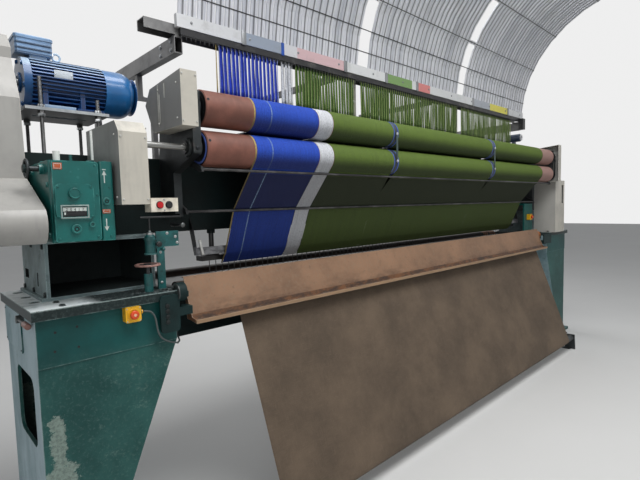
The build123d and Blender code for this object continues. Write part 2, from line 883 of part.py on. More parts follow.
def gearbox_housing():
    """Gearbox casting with the raised strip on its right and a boss for the handwheel."""
    body = block(gear_x, gear_y, gear_z)
    body += block((gear_strip_x, gear_x[1]), (gear_front_y, gear_y[0]), gear_z)
    upright = body.edges().filter_by(Axis.Z).group_by(Axis.Y)
    body = fillet(list(upright[0]) + [upright[1].sort_by(Axis.X)[0]], gear_round)
    wheel_at = (gear_wheel_y, gear_wheel_z)
    body += bar_x(gear_boss_r, (gear_x[0] - gear_boss, gear_x[0]), wheel_at)
    body -= bar_x(gear_shaft_r + bearing_fit, (gear_x[0] - gear_boss - 1, gear_x[0] + gear_bore), wheel_at)
    body -= bar_x(output_r + bearing_fit, (gear_x[1] - output_bore, gear_x[1] + 1), (output_y, output_z))
    return body


def gearbox_cover():
    """Front cover of the gearbox with a rounded raised pad and the counter window."""
    x = (gear_x[0] + cover_inset, gear_strip_x - cover_inset)
    z = (gear_z[0] + cover_inset, gear_z[1] - cover_inset)
    plate = block(x, (gear_front_y, gear_y[0]), z)
    plate = fillet(plate.edges().filter_by(Axis.Y), gear_round)
    middle = ((pad_x[0] + pad_x[1]) / 2, (pad_z[0] + pad_z[1]) / 2)
    plane = Plane(origin=(middle[0], gear_front_y, middle[1]), x_dir=(1, 0, 0), z_dir=(0, -1, 0))
    pad = RectangleRounded(pad_x[1] - pad_x[0], pad_z[1] - pad_z[0], pad_round)
    plate += extrude(plane * pad, pad_proud)
    front = gear_front_y - pad_proud
    return plate - block(window_x, (front - 1, front + window_deep), window_z)


def stitch_counter():
    """Counter in the window: back plate and number wheels on their axle."""
    front = gear_front_y - pad_proud
    back = front + window_deep
    middle_z = (window_z[0] + window_z[1]) / 2
    body = block(window_x, (back - 4, back), window_z)
    for cheek in (window_x[0], window_x[1] - 6):
        body += block((cheek, cheek + 6), (front + 2, back), window_z)
    room = window_x[1] - window_x[0] - 12
    pitch = room / digit_wheels
    wheels = []
    for index in range(digit_wheels):
        low = window_x[0] + 6 + index * pitch
        wheels.append(bar_x(wheel_r * 0.6, (low + 1, low + pitch - 1), (back - 4 - wheel_r * 0.6, middle_z)))
    return [body] + wheels


def gearbox_fittings():
    """Round cap, plugs, filler cap and breather rod of the gearbox."""
    front = gear_front_y - pad_proud
    parts = [bar_y(cap_r, (front - 9, front), cap_at)]
    for plug_x, plug_z, plug_r in plugs:
        parts.append(bar_y(plug_r, (gear_front_y - plug_proud, gear_front_y), (plug_x, plug_z)))
    for top_x, top_y, top_r, high in (top_cap, top_plug, breather):
        parts.append(bar_z(top_r, (gear_z[1], gear_z[1] + high), (top_x, top_y)))
    return parts


def low_guard():
    """Left lower chain guard: folded sheet with a chamfered top, open to the head and below."""
    x = flip(low_guard_x)
    front = low_guard_y[0]
    top = low_guard_z[1]
    cut = low_guard_chamfer

    def outline(margin):
        """Side outline, drawn in by a wall."""
        return (
            (front + margin, low_guard_z[0] - margin), (front + margin, top - cut - margin * 0.4),
            (front + cut * 0.75 + margin * 0.6, top - margin), (low_guard_y[1] + margin, top - margin),
            (low_guard_y[1] + margin, low_guard_z[0] - margin),
        )

    body = prism_x(outline(0), x) - prism_x(outline(sheet), (x[0] + sheet, x[1] - sheet))
    body -= bar_x(thin_journal_r + guard_hole, (x[1] - sheet - 1, x[1] + 1), (0, lower_z))
    return body - bar_x(output_r + guard_hole, (x[0] - 1, x[0] + sheet + 1), (output_y, output_z))


def up_guard(low_z):
    """Left upper chain guard with a chamfered back, open to the roller bracket."""
    x = flip(up_guard_x)
    front = up_guard_front
    top = up_guard_z[1]

    def outline(margin):
        """Side outline, drawn in by a wall."""
        shoulder, back, foot_y = up_guard_back
        return (
            (front + margin, low_z + margin), (front + margin, top - margin),
            (shoulder[0], top - shoulder[1] - margin), (back[0] - margin, top - back[1]),
            (foot_y - margin * 0.8, low_z + margin),
        )

    body = prism_x(outline(0), x) - prism_x(outline(sheet), (x[0] + sheet, x[1] + 1))
    return body


def box_guard():
    """Tall guard box at the right end with a slot in its front."""
    y = (box_guard_front, end_front_y)
    body = shell_box(box_guard_x, y, (leg_top_z, box_guard_top), sheet, ("+y",))
    slot_x = (box_guard_x[0] + box_guard_slot[0], box_guard_x[0] + box_guard_slot[1])
    return body - block(slot_x, (y[0] - 1, y[0] + sheet + 1), box_guard_slot[2:])


def belt_guard():
    """Large belt guard: narrow top round the motor pulley, rounded nose below the crease."""
    outer = guard_outline(0)
    inner = guard_outline(sheet)
    low, high = belt_guard_x
    body = Pos(low, 0, 0) * extrude(Plane.YZ * outer, high - low)
    body -= Pos(low + sheet, 0, 0) * extrude(Plane.YZ * inner, high - low - 2 * sheet)
    body -= bar_x(motor_shaft_r + belt_guard_hole, (high - 10, high + 1), (motor_y, motor_z))
    return body - bar_x(main_r + belt_guard_hole, (high - 10, high + 1), (main_y, main_z))


def guard_outline(margin):
    """Side outline of the belt guard, drawn in by its sheet."""
    lowest = head_bottom_z + margin
    highest = motor_z + belt_guard_rise - margin
    crease, shoulder, tip, chin_y = belt_guard_nose
    corners = [(chin_y + margin, lowest), (belt_guard_back[0][0] - margin, lowest)]
    corners += [(y - margin, z) for y, z in belt_guard_back]
    corners += [(belt_guard_top_y[1], highest), (belt_guard_top_y[0], highest)]
    corners += [(y + margin, z) for y, z in belt_guard_front]
    corners += [(crease[0] + margin, crease[1] - margin), (shoulder[0] + margin, shoulder[1] - margin / 2)]
    nose = ThreePointArc(corners[-1], (tip[0] + margin, tip[1]), corners[0])
    return make_face([Polyline(*corners), nose])


def motor_body():
    """Finned motor frame with its end shield, feet and eye bolt."""
    fins = Circle(motor_core_r)
    lanes = []
    count = int(motor_fin_r // fin_pitch)
    for index in range(-count, count + 1):
        lanes.append(Pos(0, index * fin_pitch) * Rectangle(2 * motor_fin_r, fin_thick))
    fins += Circle(motor_fin_r) & (Sketch() + lanes)
    at = Plane(origin=(motor_x[0], motor_y, motor_z), x_dir=(0, 1, 0), z_dir=(1, 0, 0))
    body = extrude(at * fins, motor_x[1] - motor_x[0])
    body += bar_x(shield_r, (shield_x, motor_x[0]), (motor_y, motor_z))
    foot_z = motor_z - motor_foot_drop
    half = motor_foot_half
    for foot_x in (motor_x[0] + motor_foot_inset, motor_x[1] - motor_foot_long - motor_foot_inset):
        foot_span = (foot_x, foot_x + motor_foot_long)
        web_x = (foot_x + motor_foot_web, foot_x + 2 * motor_foot_web)
        body += block(foot_span, (motor_y - half, motor_y + half), (foot_z, foot_z + motor_foot_thick))
        body += block(web_x, (motor_y - half + motor_foot_web, motor_y + half - motor_foot_web), (foot_z, motor_z))
    neck_y = (motor_y - motor_neck_half, motor_y + motor_neck_half)
    body += block(motor_neck_x, neck_y, (motor_z, terminal_z[0]))
    fin_top = motor_z + motor_fin_r
    ring = Pos(eye_x, motor_y, fin_top + eye_r + eye_thick) * Rot(90, 0, 0) * Torus(eye_r, eye_thick)
    body += ring + bar_z(eye_stem_r, (motor_z, fin_top + eye_thick), (eye_x, motor_y))
    return body - bar_x(motor_shaft_r + bearing_fit, (shield_x - 1, shield_x + motor_bore), (motor_y, motor_z))


def small_motor():
    """Small motor at the right end, on a post from the head."""
    motor = bar_y(small_motor_r, small_motor_y, small_motor_at)
    motor = chamfer(motor.edges().filter_by(GeomType.CIRCLE), small_motor_edge)
    boss_y = (small_motor_y[0] - small_motor_edge, small_motor_y[0] + 1)
    motor += bar_y(small_motor_r * 0.3, boss_y, small_motor_at)
    half = small_motor_post / 2
    middle_y = sum(small_motor_y) / 2
    post_y = (middle_y - half, middle_y + half)
    post_span = (small_motor_at[0] - half, small_motor_at[0] + half)
    return motor + block(post_span, post_y, (head_top_z, small_motor_at[1]))


def fan_cover():
    """Domed sheet fan cover at the back of the motor."""
    length = fan_cover_x[1] - fan_cover_x[0]
    outer_r = fan_cover_r

    def half_profile(radius, depth):
        """Half section of the dome from its rim to the axis."""
        bend = radius * fan_cover_bend
        rim = Line((0, radius), (depth - bend, radius))
        middle = (depth - bend * 0.29, radius - bend * 0.29)
        crown = ThreePointArc((depth - bend, radius), middle, (depth, radius - bend))
        end = Polyline((depth, radius - bend), (depth, 0), (0, 0), (0, radius))
        return make_face([rim, crown, end])

    dome = revolve(half_profile(outer_r, length), Axis.X)
    dome -= revolve(half_profile(outer_r - sheet, length - sheet), Axis.X)
    for ring in range(2):
        for step in range(10):
            turn = Rot(step * 36 + ring * 18, 0, 0)
            slot = Pos(length - 2, fan_slot_ring[0] + ring * fan_slot_ring[1], 0) * Box(3 * sheet, *fan_slot)
            dome -= turn * slot
    return Pos(fan_cover_x[0], motor_y, motor_z) * dome


def terminal_box():
    """Motor terminal box with a lid and two ridges."""
    low, high = terminal_z
    edge = high - terminal_lid
    box = block(terminal_x, terminal_y, (low, edge))
    box = chamfer(box.edges().filter_by(Axis.Z), 2 * terminal_lip)
    lip = terminal_lip
    lid_x = (terminal_x[0] - lip, terminal_x[1] + lip)
    lid = block(lid_x, (terminal_y[0] - lip, terminal_y[1] + lip), (edge, high))
    lid = chamfer(lid.edges().filter_by(Axis.Z), 2.5 * lip)
    lid = fillet(lid.edges().group_by(Axis.Z)[-1], 1.5 * lip)
    for ridge in terminal_ridges:
        ridge_z = (low + ridge, low + ridge + terminal_ridge)
        ridge_x = (terminal_x[0] + 2 * lip, terminal_x[1] - 2 * lip)
        box += block(ridge_x, (terminal_y[0] - lip, terminal_y[0] + 1), ridge_z)
    return box + lid


def motor_base_piece():
    """Slotted base plate of the motor."""
    z = (motor_z - motor_foot_drop - motor_base, motor_z - motor_foot_drop)
    plate = block(motor_base_x, motor_base_y, z)
    for stud_x in stud_xs:
        for stud_y in stud_ys:
            plate -= bar_z(stud_r + 0.3, (z[0] - 1, z[1] + 1), (stud_x, stud_y))
    inset, half = motor_base_slot
    slot_x = (motor_base_x[0] + inset, motor_base_x[1] - inset)
    return plate - block(slot_x, (motor_y - half, motor_y + half), (z[0] - 1, z[1] + 1))


def motor_studs():
    """Four threaded studs that stand on the head, each with two nuts."""
    plate_low = motor_z - motor_foot_drop - motor_base
    studs = []
    for stud_x, top_z in zip(stud_xs, stud_tops_z):
        for stud_y in stud_ys:
            stud = bar_z(stud_r, (head_top_z, top_z), (stud_x, stud_y))
            for nut_z in (plate_low - nut_h, plate_low + motor_base, head_top_z):
                nut = Pos(stud_x, stud_y, nut_z) * extrude(RegularPolygon(nut_r, 6), nut_h)
                stud += nut
            studs.append(stud)
    return studs


def motor_shaft():
    """Motor shaft with its grooved pulley."""
    shaft = bar_x(motor_shaft_r, (shaft_end_x, shield_x + 118), (motor_y, motor_z))
    return shaft + pulley(motor_pulley_r, (motor_y, motor_z))


def pulley(radius, at):
    """Belt pulley: rim, web and hub."""
    low, high = pulley_x
    wheel = bar_x(radius, pulley_x, at)
    wheel -= bar_x(radius * 0.78, (low - 1, low + 24), at)
    wheel -= bar_x(radius * 0.78, (high - 24, high + 1), at)
    return wheel + bar_x(radius * 0.42, pulley_x, at)


def main_shaft():
    """Main shaft with its pulley and an eccentric above each push rod."""
    shaft = bar_x(main_r, (shaft_end_x, head_half - head_wall + 40), (main_y, main_z))
    shaft += pulley(main_pulley_r, (main_y, main_z))
    for index, rod_x in enumerate(rod_places()):
        at = (main_y, main_z - eccentric_throw)
        shaft += bar_x(eccentric_r, (rod_x - eccentric_width / 2, rod_x + eccentric_width / 2), at)
    return shaft


def drive_belts():
    """Belts between the motor pulley and the main shaft pulley."""
    room = (pulley_x[1] - pulley_x[0]) / belts
    loops = []
    for index in range(belts):
        low = pulley_x[0] + room * (index + 0.5) - belt_width / 2
        loops.append(belt_loop((main_y, main_z), main_pulley_r + belt_gap, (motor_y, motor_z),
                               motor_pulley_r + belt_gap, belt_thick, (low, low + belt_width)))
    return loops


def roller_chains():
    """Drive chain in the left lower guard and the chain that joins both rollers at the right."""
    left_x = (left_sprocket_x + 2, left_sprocket_x + sprocket_width - 2)
    right_x = (right_sprocket_x + 2, right_sprocket_x + sprocket_width - 2)
    drive = belt_loop((output_y, output_z), small_sprocket_r + chain_gap, (0.0, lower_z),
                      large_sprocket_r + chain_gap, chain_thick, left_x)
    joint = belt_loop((0.0, lower_z), large_sprocket_r + chain_gap, (0.0, upper_z),
                      large_sprocket_r + chain_gap, chain_thick, right_x)
    return [drive, joint]


def output_shaft():
    """Gearbox output shaft with its sprocket."""
    shaft = bar_x(output_r, (gear_x[1] - 58, output_end_x), (output_y, output_z))
    sprocket_x = (left_sprocket_x, left_sprocket_x + sprocket_width)
    return shaft + bar_x(small_sprocket_r, sprocket_x, (output_y, output_z))


def handwheel(radius, rim, shaft_r, shaft_low, shaft_high):
    """Handwheel about Z: rim, three arms, hub, crank knob and shaft."""
    wheel = Torus(radius - rim, rim)
    wheel += Pos(0, 0, 0) * Cylinder(radius * 0.3, rim * 2.4)
    for step in range(3):
        wheel += Rot(0, 0, 120 * step) * Pos(radius * 0.55, 0, 0) * Box(radius * 0.72, rim * 1.5, rim * 1.1)
    return wheel + bar_z(shaft_r, (shaft_low, shaft_high), (0, 0))


def needle_bar():
    """Needle bar with its needles, clamps and push rods."""
    bar = block((-needle_bar_half, needle_bar_half), needle_bar_y, needle_bar_z)
    span = needle_pitch * needle_count / 2
    extras = []
    for index in range(needle_count):
        middle = -span + (index + 0.5) * needle_pitch
        half = needle_size / 2
        extras.append(block((middle - half, middle + half), (needle_y - half, needle_y + half),
                            (needle_tip_z, needle_bar_z[0])))
    for rod_x in rod_places():
        extras.append(bar_z(rod_r, (needle_bar_z[1], rod_top_z), (rod_x, rod_y)))
        clamp_z = (needle_bar_z[1], needle_bar_z[1] + clamp_high)
        extras.append(block((rod_x - clamp_half, rod_x + clamp_half), clamp_y, clamp_z))
    return bar + extras


def looper_shaft():
    """Looper rocker shaft with its looper blocks."""
    half = leg_inner_x - 8
    shaft = bar_x(looper_shaft_r, (-half, half), (looper_y, looper_z))
    blocks = []
    for index in range(looper_count):
        middle = (index - (looper_count - 1) / 2) * looper_pitch
        outline = [(looper_y + y, looper_z + z) for y, z in looper_outline]
        blocks.append(prism_x(outline, (middle - looper_block / 2, middle + looper_block / 2)))
    return shaft + blocks


def feed_roller(at):
    """Cloth feed roller with its journals."""
    body = bar_x(feed_r, (-feed_half, feed_half), at)
    return body + bar_x(feed_journal_r, (-feed_end, feed_end), at)


def feed_bearings():
    """Bearing plates of both cloth rollers on the legs' inner faces."""
    plates = []
    x = (-leg_inner_x, -leg_inner_x + feed_bearing_thick)
    low, high = rear_bearing_z
    for at, offsets in ((front_feed, front_bearing), (rear_feed, rear_bearing)):
        outline = [(at[0] + y, at[1] + z) for y, z in offsets]
        if at is rear_feed:
            outline = [(bed_back_y, at[1] + low)] + outline + [(bed_back_y, at[1] + high)]
        plate = prism_x(outline, x) - bar_x(feed_journal_r + bearing_fit, (x[0] - 1, x[1] + 1), at)
        plates += [plate, mirrored(plate)]
    return plates


def backing_cloth():
    """Backing cloth: from the floor bar up under the apron, over the front feed roller to the needles."""
    lift = soft_gap + cloth / 2
    end_y = needle_y - needle_slot / 2 - 3
    bed_line = bed_top_z + bed_plate + lift
    stations = [
        (end_y, bed_line, 0.0, 1),
        (end_y - 36, bed_line, 0.0, 1),
        (*front_feed, feed_r + lift, 1),
        (*floor_bar, floor_bar_r + lift, 1),
        (floor_bar[0] + 60, floor_bar[1] - floor_bar_r - lift, 0.0, 1),
    ]
    edges = path_edges(stations[1:])
    edges.append(Line(stations[0][:2], leave_point(stations[1], 0)))
    ordered = Wire(sorted_edges(edges, stations[0][:2]))
    path = Plane.YZ * ordered
    section = Plane(origin=(0, end_y, bed_line), x_dir=(1, 0, 0), z_dir=(0, -1, 0))
    return sweep(section * Rectangle(2 * cloth_half, cloth), path=path, transition=Transition.RIGHT)


def sorted_edges(edges, start):
    """Edges put in the order in which they follow each other from a point."""
    left = list(edges)
    at = Vector(*start)
    ordered = []
    while left:
        for edge in left:
            ends = (edge @ 0, edge @ 1)
            if (ends[0] - at).length < 0.01 or (ends[1] - at).length < 0.01:
                at = ends[1] if (ends[0] - at).length < 0.01 else ends[0]
                ordered.append(edge)
                left.remove(edge)
                break
        else:
            raise ValueError("the path has a gap")
    return ordered


def floor_bar_piece():
    """Floor bar of the backing cloth on two arms from the feet."""
    bar = bar_x(floor_bar_r, (-floor_bar_half, floor_bar_half), floor_bar)
    foot_front = leg_front_y - leg_plate_lip * 2
    foot_inner = -(leg_inner_x + leg_width - leg_foot_width - foot_margin)
    arm = (
        (floor_bar[0] - floor_arm_spread[0], 0), (floor_bar[0] + floor_arm_spread[1], 0),
        (floor_bar[0] + floor_arm_top, floor_bar[1] + floor_arm_top),
        (floor_bar[0] - floor_arm_top, floor_bar[1] + floor_arm_top),
    )
    end = prism_x(arm, (-floor_bar_half - floor_arm, -floor_bar_half))
    over, deep, wide = floor_tie
    end += block((foot_inner - over, -floor_bar_half), (foot_front - deep, foot_front), (0, floor_arm))
    tie_x = (-floor_bar_half - floor_arm, -floor_bar_half + wide)
    end += block(tie_x, (floor_bar[0], foot_front), (0, floor_arm))
    return bar + end + mirrored(end)


def apron():
    """Apron tray: sloping sheet with a ledge and an upturned lip, closed by end plates."""
    top_y, top_z = apron_top
    foot_y, foot_z = apron_foot
    t = apron_sheet
    ledge_y = foot_y - apron_ledge
    ledge_z = foot_z - apron_ledge_drop
    fold_y = top_y + apron_top_fold
    outline = (
        (top_y, top_z), (foot_y, foot_z), (ledge_y, ledge_z), (ledge_y - t / 2, ledge_z + apron_lip),
        (ledge_y - t * 1.5, ledge_z + apron_lip), (ledge_y - t * 1.25, ledge_z - t), (foot_y + t, foot_z - t),
        (top_y + t, top_z - 1), (fold_y, top_z - t / 2), (fold_y, top_z + t / 2), (top_y, top_z + t * 0.75),
    )
    tray = prism_x(outline, apron_x)
    end = (
        (ledge_y - 1, ledge_z - t / 2), (foot_y + t * 0.75, foot_z - t / 2), (foot_y + apron_ledge, foot_z - t / 2),
        (top_y + t * 0.75, top_z - apron_lip), (foot_y - t / 2, foot_z + apron_lip),
        (ledge_y, ledge_z + apron_lip - t / 2),
    )
    for end_x in (apron_x[0], apron_x[1] - t):
        tray += prism_x(end, (end_x, end_x + t))
    return tray


def apron_brackets():
    """Brackets that hold the apron's ends on the legs, with bolt holes and a hub disc."""
    front = leg_front_y - leg_plate_lip - 5
    y = (front - apron_plate_thick, front)
    middle = (sum(apron_plate_x) / 2, sum(apron_plate_z) / 2)
    plane = Plane(origin=(middle[0], front, middle[1]), x_dir=(1, 0, 0), z_dir=(0, -1, 0))
    size = (apron_plate_x[1] - apron_plate_x[0], apron_plate_z[1] - apron_plate_z[0])
    left = extrude(plane * RectangleRounded(*size, apron_plate_r), apron_plate_thick)
    spacer_x = (apron_plate_x[0] + apron_plate_r, -leg_inner_x - apron_plate_r)
    left += block(spacer_x, (front, leg_front_y), apron_spacer_z)
    left += block((apron_plate_x[1] - 2, apron_x[0]), (y[0], hub_arm_y[0] * 2), apron_arm_z)
    left += bar_x(hub_r, hub_x, hub_at)
    left += block((hub_x[0] + 4, apron_x[0]), hub_arm_y, hub_arm_z)
    for hole_z in apron_holes_z:
        left -= bar_y(apron_hole_r, (y[0] - 1, front + 1), (apron_holes_x, hole_z))
    right = block((apron_x[1], leg_inner_x + apron_plate_r), y, (apron_arm_z[0], hub_arm_z[1]))
    right += block((apron_x[1], leg_inner_x), (front, hub_arm_y[0] * 2), apron_arm_z)
    return [left, right]


def button_box():
    """Push-button box on the side of the lower guard."""
    box = block(button_box_x, button_box_y, button_box_z)
    tab_y = (button_box_y[0] + button_r, button_box_y[1] - button_r)
    tab_z = (button_box_z[0] + button_r, button_box_z[1] + button_tab)
    box += block((button_box_x[0], button_box_x[0] + sheet), tab_y, tab_z)
    front = button_box_y[0]
    clear, deep = button_bore
    for button_x in button_xs:
        box -= bar_y(button_r + clear, (front - 1, front + deep), (button_x, button_z))
    return box


def push_button(button_x):
    """Button with its stem in the box."""
    front = button_box_y[0]
    return bar_y(button_r, (front - button_proud, front + button_stem), (button_x, button_z))


def stop_station(at, back_y):
    """Yellow stop box with a bored front."""
    half = stop_box / 2
    y = (back_y - stop_box_deep, back_y)
    box = block((at[0] - half, at[0] + half), y, (at[1] - half, at[1] + half))
    box = fillet(box.edges().filter_by(Axis.Y), stop_box_r)
    return box - bar_y(stop_stem_r + button_bore[0], (y[0] - 1, y[0] + button_bore[1]), at)


def mushroom(at, back_y):
    """Mushroom button with its stem."""
    front = back_y - stop_box_deep
    back = front - mushroom_travel - mushroom_gap
    head = bar_y(mushroom_r, (back - mushroom_thick, back), at)
    head = fillet(head.edges().sort_by(Axis.Y)[:1], mushroom_thick * 2 / 3)
    return head + bar_y(stop_stem_r, (back, front + stop_stem), at)


def lubricator():
    """Lubricator on its post: domed cylinder, side knob, post, flag plate and the rod above it."""
    top = lube_z[1]
    body = bar_z(lube_r, lube_z, (lube_x, lube_y))
    body = fillet(body.edges().sort_by(Axis.Z)[-1:], lube_dome)
    for low in (lube_z[0], top - 2 * lube_dome):
        body += bar_z(lube_r + lube_ring, (low, low + lube_dome / 2), (lube_x, lube_y))
    body += bar_z(lube_rod_r + lube_ring, (top - 1, top + lube_dome), (lube_x, lube_y))
    body += bar_z(lube_rod_r - 1, (top, lube_rod_z), (lube_x, lube_y))
    body += bar_x(lube_rod_r, lube_rod_x, (lube_y, lube_rod_z))
    lug_y = (lube_y - post_half, bracket_foot_y + bracket_round)
    body += block((lube_rod_x[1] - lube_rod_r, -bracket_x[1]), lug_y, (lube_rod_z, lube_rod_z + bracket_round))
    body += block((lube_x, post_x[0]), (lube_y - post_half, lube_y + post_half), lube_clamp_z)
    post_y = (lube_y - post_half, lube_y + post_half)
    post = block(post_x, post_y, (leg_top_z, flag_z[1])) + block((post_x[1], flag_x), post_y, flag_z)
    knob_at = ((post_x[0] + post_x[1]) / 2, lube_z[0] + lube_r)
    post += Pos(knob_at[0], lube_y - knob_off, knob_at[1]) * Sphere(knob_r)
    post += bar_y(lube_ring, (lube_y - knob_off, lube_y - post_half), knob_at)
    return body + post


def right_panel():
    """Teal end panel at the right, between bed and head, with a ledge back to the head."""
    y = (bed_front_y, bed_front_y + panel_thick)
    panel = block(panel_x, y, (bed_top_z + bed_plate, bracket_foot_z))
    return panel + block(panel_x, (y[0], head_front_y), (bracket_foot_z - panel_thick, bracket_foot_z))


def header_end_box():
    """Black end box of the header."""
    return block(end_box_x, (board_y[0] - end_box_deep, comb_y[0]), end_box_z)


def bed_wheel_boss():
    """Pillar under the horizontal handwheel."""
    pillar = bar_z(bed_pillar_r, (leg_top_z, bed_wheel_z - bed_pillar_drop), bed_wheel)
    return pillar - bar_z(bed_shaft_r + bearing_fit, (bed_wheel_z - bed_shaft_long - 30, bed_wheel_z), bed_wheel)


def lever():
    """Lever on the leg's end face: hub, rod and grip that point to the front."""
    face = -(leg_inner_x + leg_width)
    hub = bar_x(lever_hub_r, (face - lever_off - lever_pin_r, face - soft_gap), lever_at)
    grip_back = lever_at[0] - lever_length
    rod = bar_y(lever_r, (grip_back, lever_at[0]), (face - lever_off, lever_at[1]))
    grip = bar_y(lever_grip_r, (grip_back - lever_grip, grip_back), (face - lever_off, lever_at[1]))
    grip = fillet(grip.edges().sort_by(Axis.Y)[:1], lever_r)
    return hub + rod + grip + bar_x(lever_pin_r, (face - soft_gap, face + leg_wall - 2), lever_at)


def stop_cable():
    """Grey cable from the stop box to the bed."""
    points = [Vector(*point) for point in cable_route]
    radii = []
    for before, at, after in zip(points, points[1:], points[2:]):
        turn = (at - before).get_angle(after - at)
        shorter = min((at - before).length, (after - at).length)
        radii.append(0.45 * shorter / math.tan(math.radians(turn / 2)))
    print("cable radii", [round(radius) for radius in radii])
    path = FilletPolyline(*points, radius=radii)
    start = Plane(origin=points[0], z_dir=points[1] - points[0])
    tube = sweep(start * Circle(cable_d / 2), path=path)
    section = math.pi * cable_d * cable_d / 4
    print("cable length", round(path.length), "volume ratio", round(tube.volume / (section * path.length), 4))
    return tube


def build():
    """Every piece of the machine by name."""
    back = leg_front_y
    start = cable_route[0]
    gland = bar_x(cable_gland[0], (left_stop[0], start[0]), (start[1], start[2]))
    stem_y = (back - stop_box_deep - 1, back - stop_box_deep + button_bore[1])
    gland -= bar_y(stop_stem_r + button_bore[0], stem_y, left_stop)
    leg_face = -(leg_inner_x + leg_width)
    leg_hole = bar_x(lever_pin_r + bearing_fit, (leg_face - 1, leg_face + leg_wall - 1), lever_at)
    left_leg = leg()
    right_leg = mirrored(left_leg)
    left_leg -= leg_hole
    nodes = {
        "left_leg": left_leg,
        "right_leg": right_leg,
        "bed_beam": bed_beam(),
        "bed_plate": bed_plate_piece(),
        "head_beam": head_beam(),
        "left_end_frame": end_frame(),
        "right_end_frame": mirrored(end_frame()),
        "gearbox_housing": gearbox_housing(),
        "gearbox_cover": gearbox_cover(),
        "stitch_counter": stitch_counter(),
        "gearbox_fittings": gearbox_fittings(),
        "belt_guard": belt_guard(),
        "left_upper_guard": up_guard(up_guard_z[0]),
        "right_upper_guard": mirrored(up_guard(right_guard_z)),
        "left_lower_guard": low_guard(),
        "right_box_guard": box_guard(),
        "motor_body": [motor_body(), small_motor()],
        "motor_fan_cover": fan_cover(),
        "motor_terminal_box": terminal_box(),
        "motor_base_plate": motor_base_piece(),
        "motor_studs": motor_studs(),
        "motor_shaft": motor_shaft(),
        "main_shaft": main_shaft(),
        "drive_belts": drive_belts(),
        "roller_chains": roller_chains(),
        "output_shaft": output_shaft(),
        "left_roller_bracket": roller_bracket(),
        "right_roller_bracket": mirrored(roller_bracket()),
        "roller_hangers": [hanger(-hanger_x), hanger(hanger_x)],
        "upper_roller": roller(upper_z, thin_journal_x, roller_end_x, (right_sprocket_x,)),
        "lower_roller": roller(lower_z, lower_end_x, roller_end_x, (left_sprocket_x, right_sprocket_x)),
        "yarn_guides": guide_rods() + [guide_strip()],
        "blue_yarn": [yarn_band(edge_band), yarn_band(blue_band)],
        "white_yarn": yarn_band(white_band),
        "green_yarn": [yarn_band(band) for band in green_bands],
        "header_channel": header_channel(),
        "header_board": [header_board(), header_end_box()],
        "header_frames": [header_frame(), mirrored(header_frame()), *map(inner_header_frame, inner_beams)],
        "yarn_tubes": yarn_tubes(),
        "needle_bar": needle_bar(),
        "looper_shaft": looper_shaft(),
        "front_feed_roller": feed_roller(front_feed),
        "rear_feed_roller": feed_roller(rear_feed),
        "feed_bearings": feed_bearings(),
        "backing_cloth": backing_cloth(),
        "floor_bar": floor_bar_piece(),
        "apron": apron(),
        "apron_brackets": apron_brackets(),
        "button_box": button_box(),
        "start_button": push_button(button_xs[1]),
        "stop_button": push_button(button_xs[0]),
        "stop_stations": [stop_station(left_stop, back) + gland, stop_station(right_stop, bed_front_y)],
        "left_stop_button": mushroom(left_stop, back),
        "right_stop_button": mushroom(right_stop, bed_front_y),
        "lubricator": [lubricator(), bed_wheel_boss()],
        "right_end_panel": right_panel(),
        "gearbox_handwheel": Pos(gear_wheel_x, gear_wheel_y, gear_wheel_z) * Rot(0, 90, 0)
        * handwheel(gear_wheel_r, wheel_rim, gear_shaft_r, 0, gear_x[0] + gear_bore - 2 - gear_wheel_x),
        "bed_handwheel": Pos(bed_wheel[0], bed_wheel[1], bed_wheel_z)
        * handwheel(bed_wheel_r, wheel_rim, bed_shaft_r, -bed_shaft_long, 0),
        "leg_lever": lever(),
        "stop_cable": stop_cable(),
    }
    return nodes


def as_compound(piece):
    """One shape of a node from its solids."""
    pieces = piece if isinstance(piece, list) else [piece]
    solids = [solid for item in pieces for solid in item.solids()]
    return Compound(solids)


cord_nodes = ("stop_cable",)
parts = {name: as_compound(piece) for name, piece in build().items()}
lows = []
highs = []
for name, shape in parts.items():
    if name not in cord_nodes:
        box = shape.bounding_box()
        lows.append(box.min)
        highs.append(box.max)
low_x = min(corner.X for corner in lows)
high_x = max(corner.X for corner in highs)
low_y = min(corner.Y for corner in lows)
high_y = max(corner.Y for corner in highs)
shift = Vector(-(low_x + high_x) / 2, -(low_y + high_y) / 2, -min(corner.Z for corner in lows))
print("machine moved by", shift, "size", high_x - low_x, high_y - low_y, max(corner.Z for corner in highs))
os.makedirs("parts", exist_ok=True)
for name, shape in parts.items():
    export_step(shape.moved(Location(shift)), os.path.join("parts", name + ".step"))
print(len(parts), "nodes")
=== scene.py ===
import bmesh
import bpy
import functools
import itertools
import math
import random
from mathutils import Matrix, Vector


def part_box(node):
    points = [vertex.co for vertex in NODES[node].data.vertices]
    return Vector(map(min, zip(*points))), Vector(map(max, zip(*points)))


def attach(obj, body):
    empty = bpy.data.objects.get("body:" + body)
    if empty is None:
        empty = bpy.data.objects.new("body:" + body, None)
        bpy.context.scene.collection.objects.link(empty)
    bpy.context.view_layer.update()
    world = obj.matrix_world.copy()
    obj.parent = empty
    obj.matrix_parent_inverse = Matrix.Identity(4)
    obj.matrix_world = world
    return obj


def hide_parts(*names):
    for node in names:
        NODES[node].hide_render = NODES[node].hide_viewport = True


bl_info = {
    "name": "Tufting machine",
    "version": (1, 0, 0),
    "blender": (4, 5, 0),
    "location": "3D View > Sidebar > Tufting",
    "description": "Dresses the packed tufting machine with its yarn, paint, fittings and light",
    "category": "Object",
}

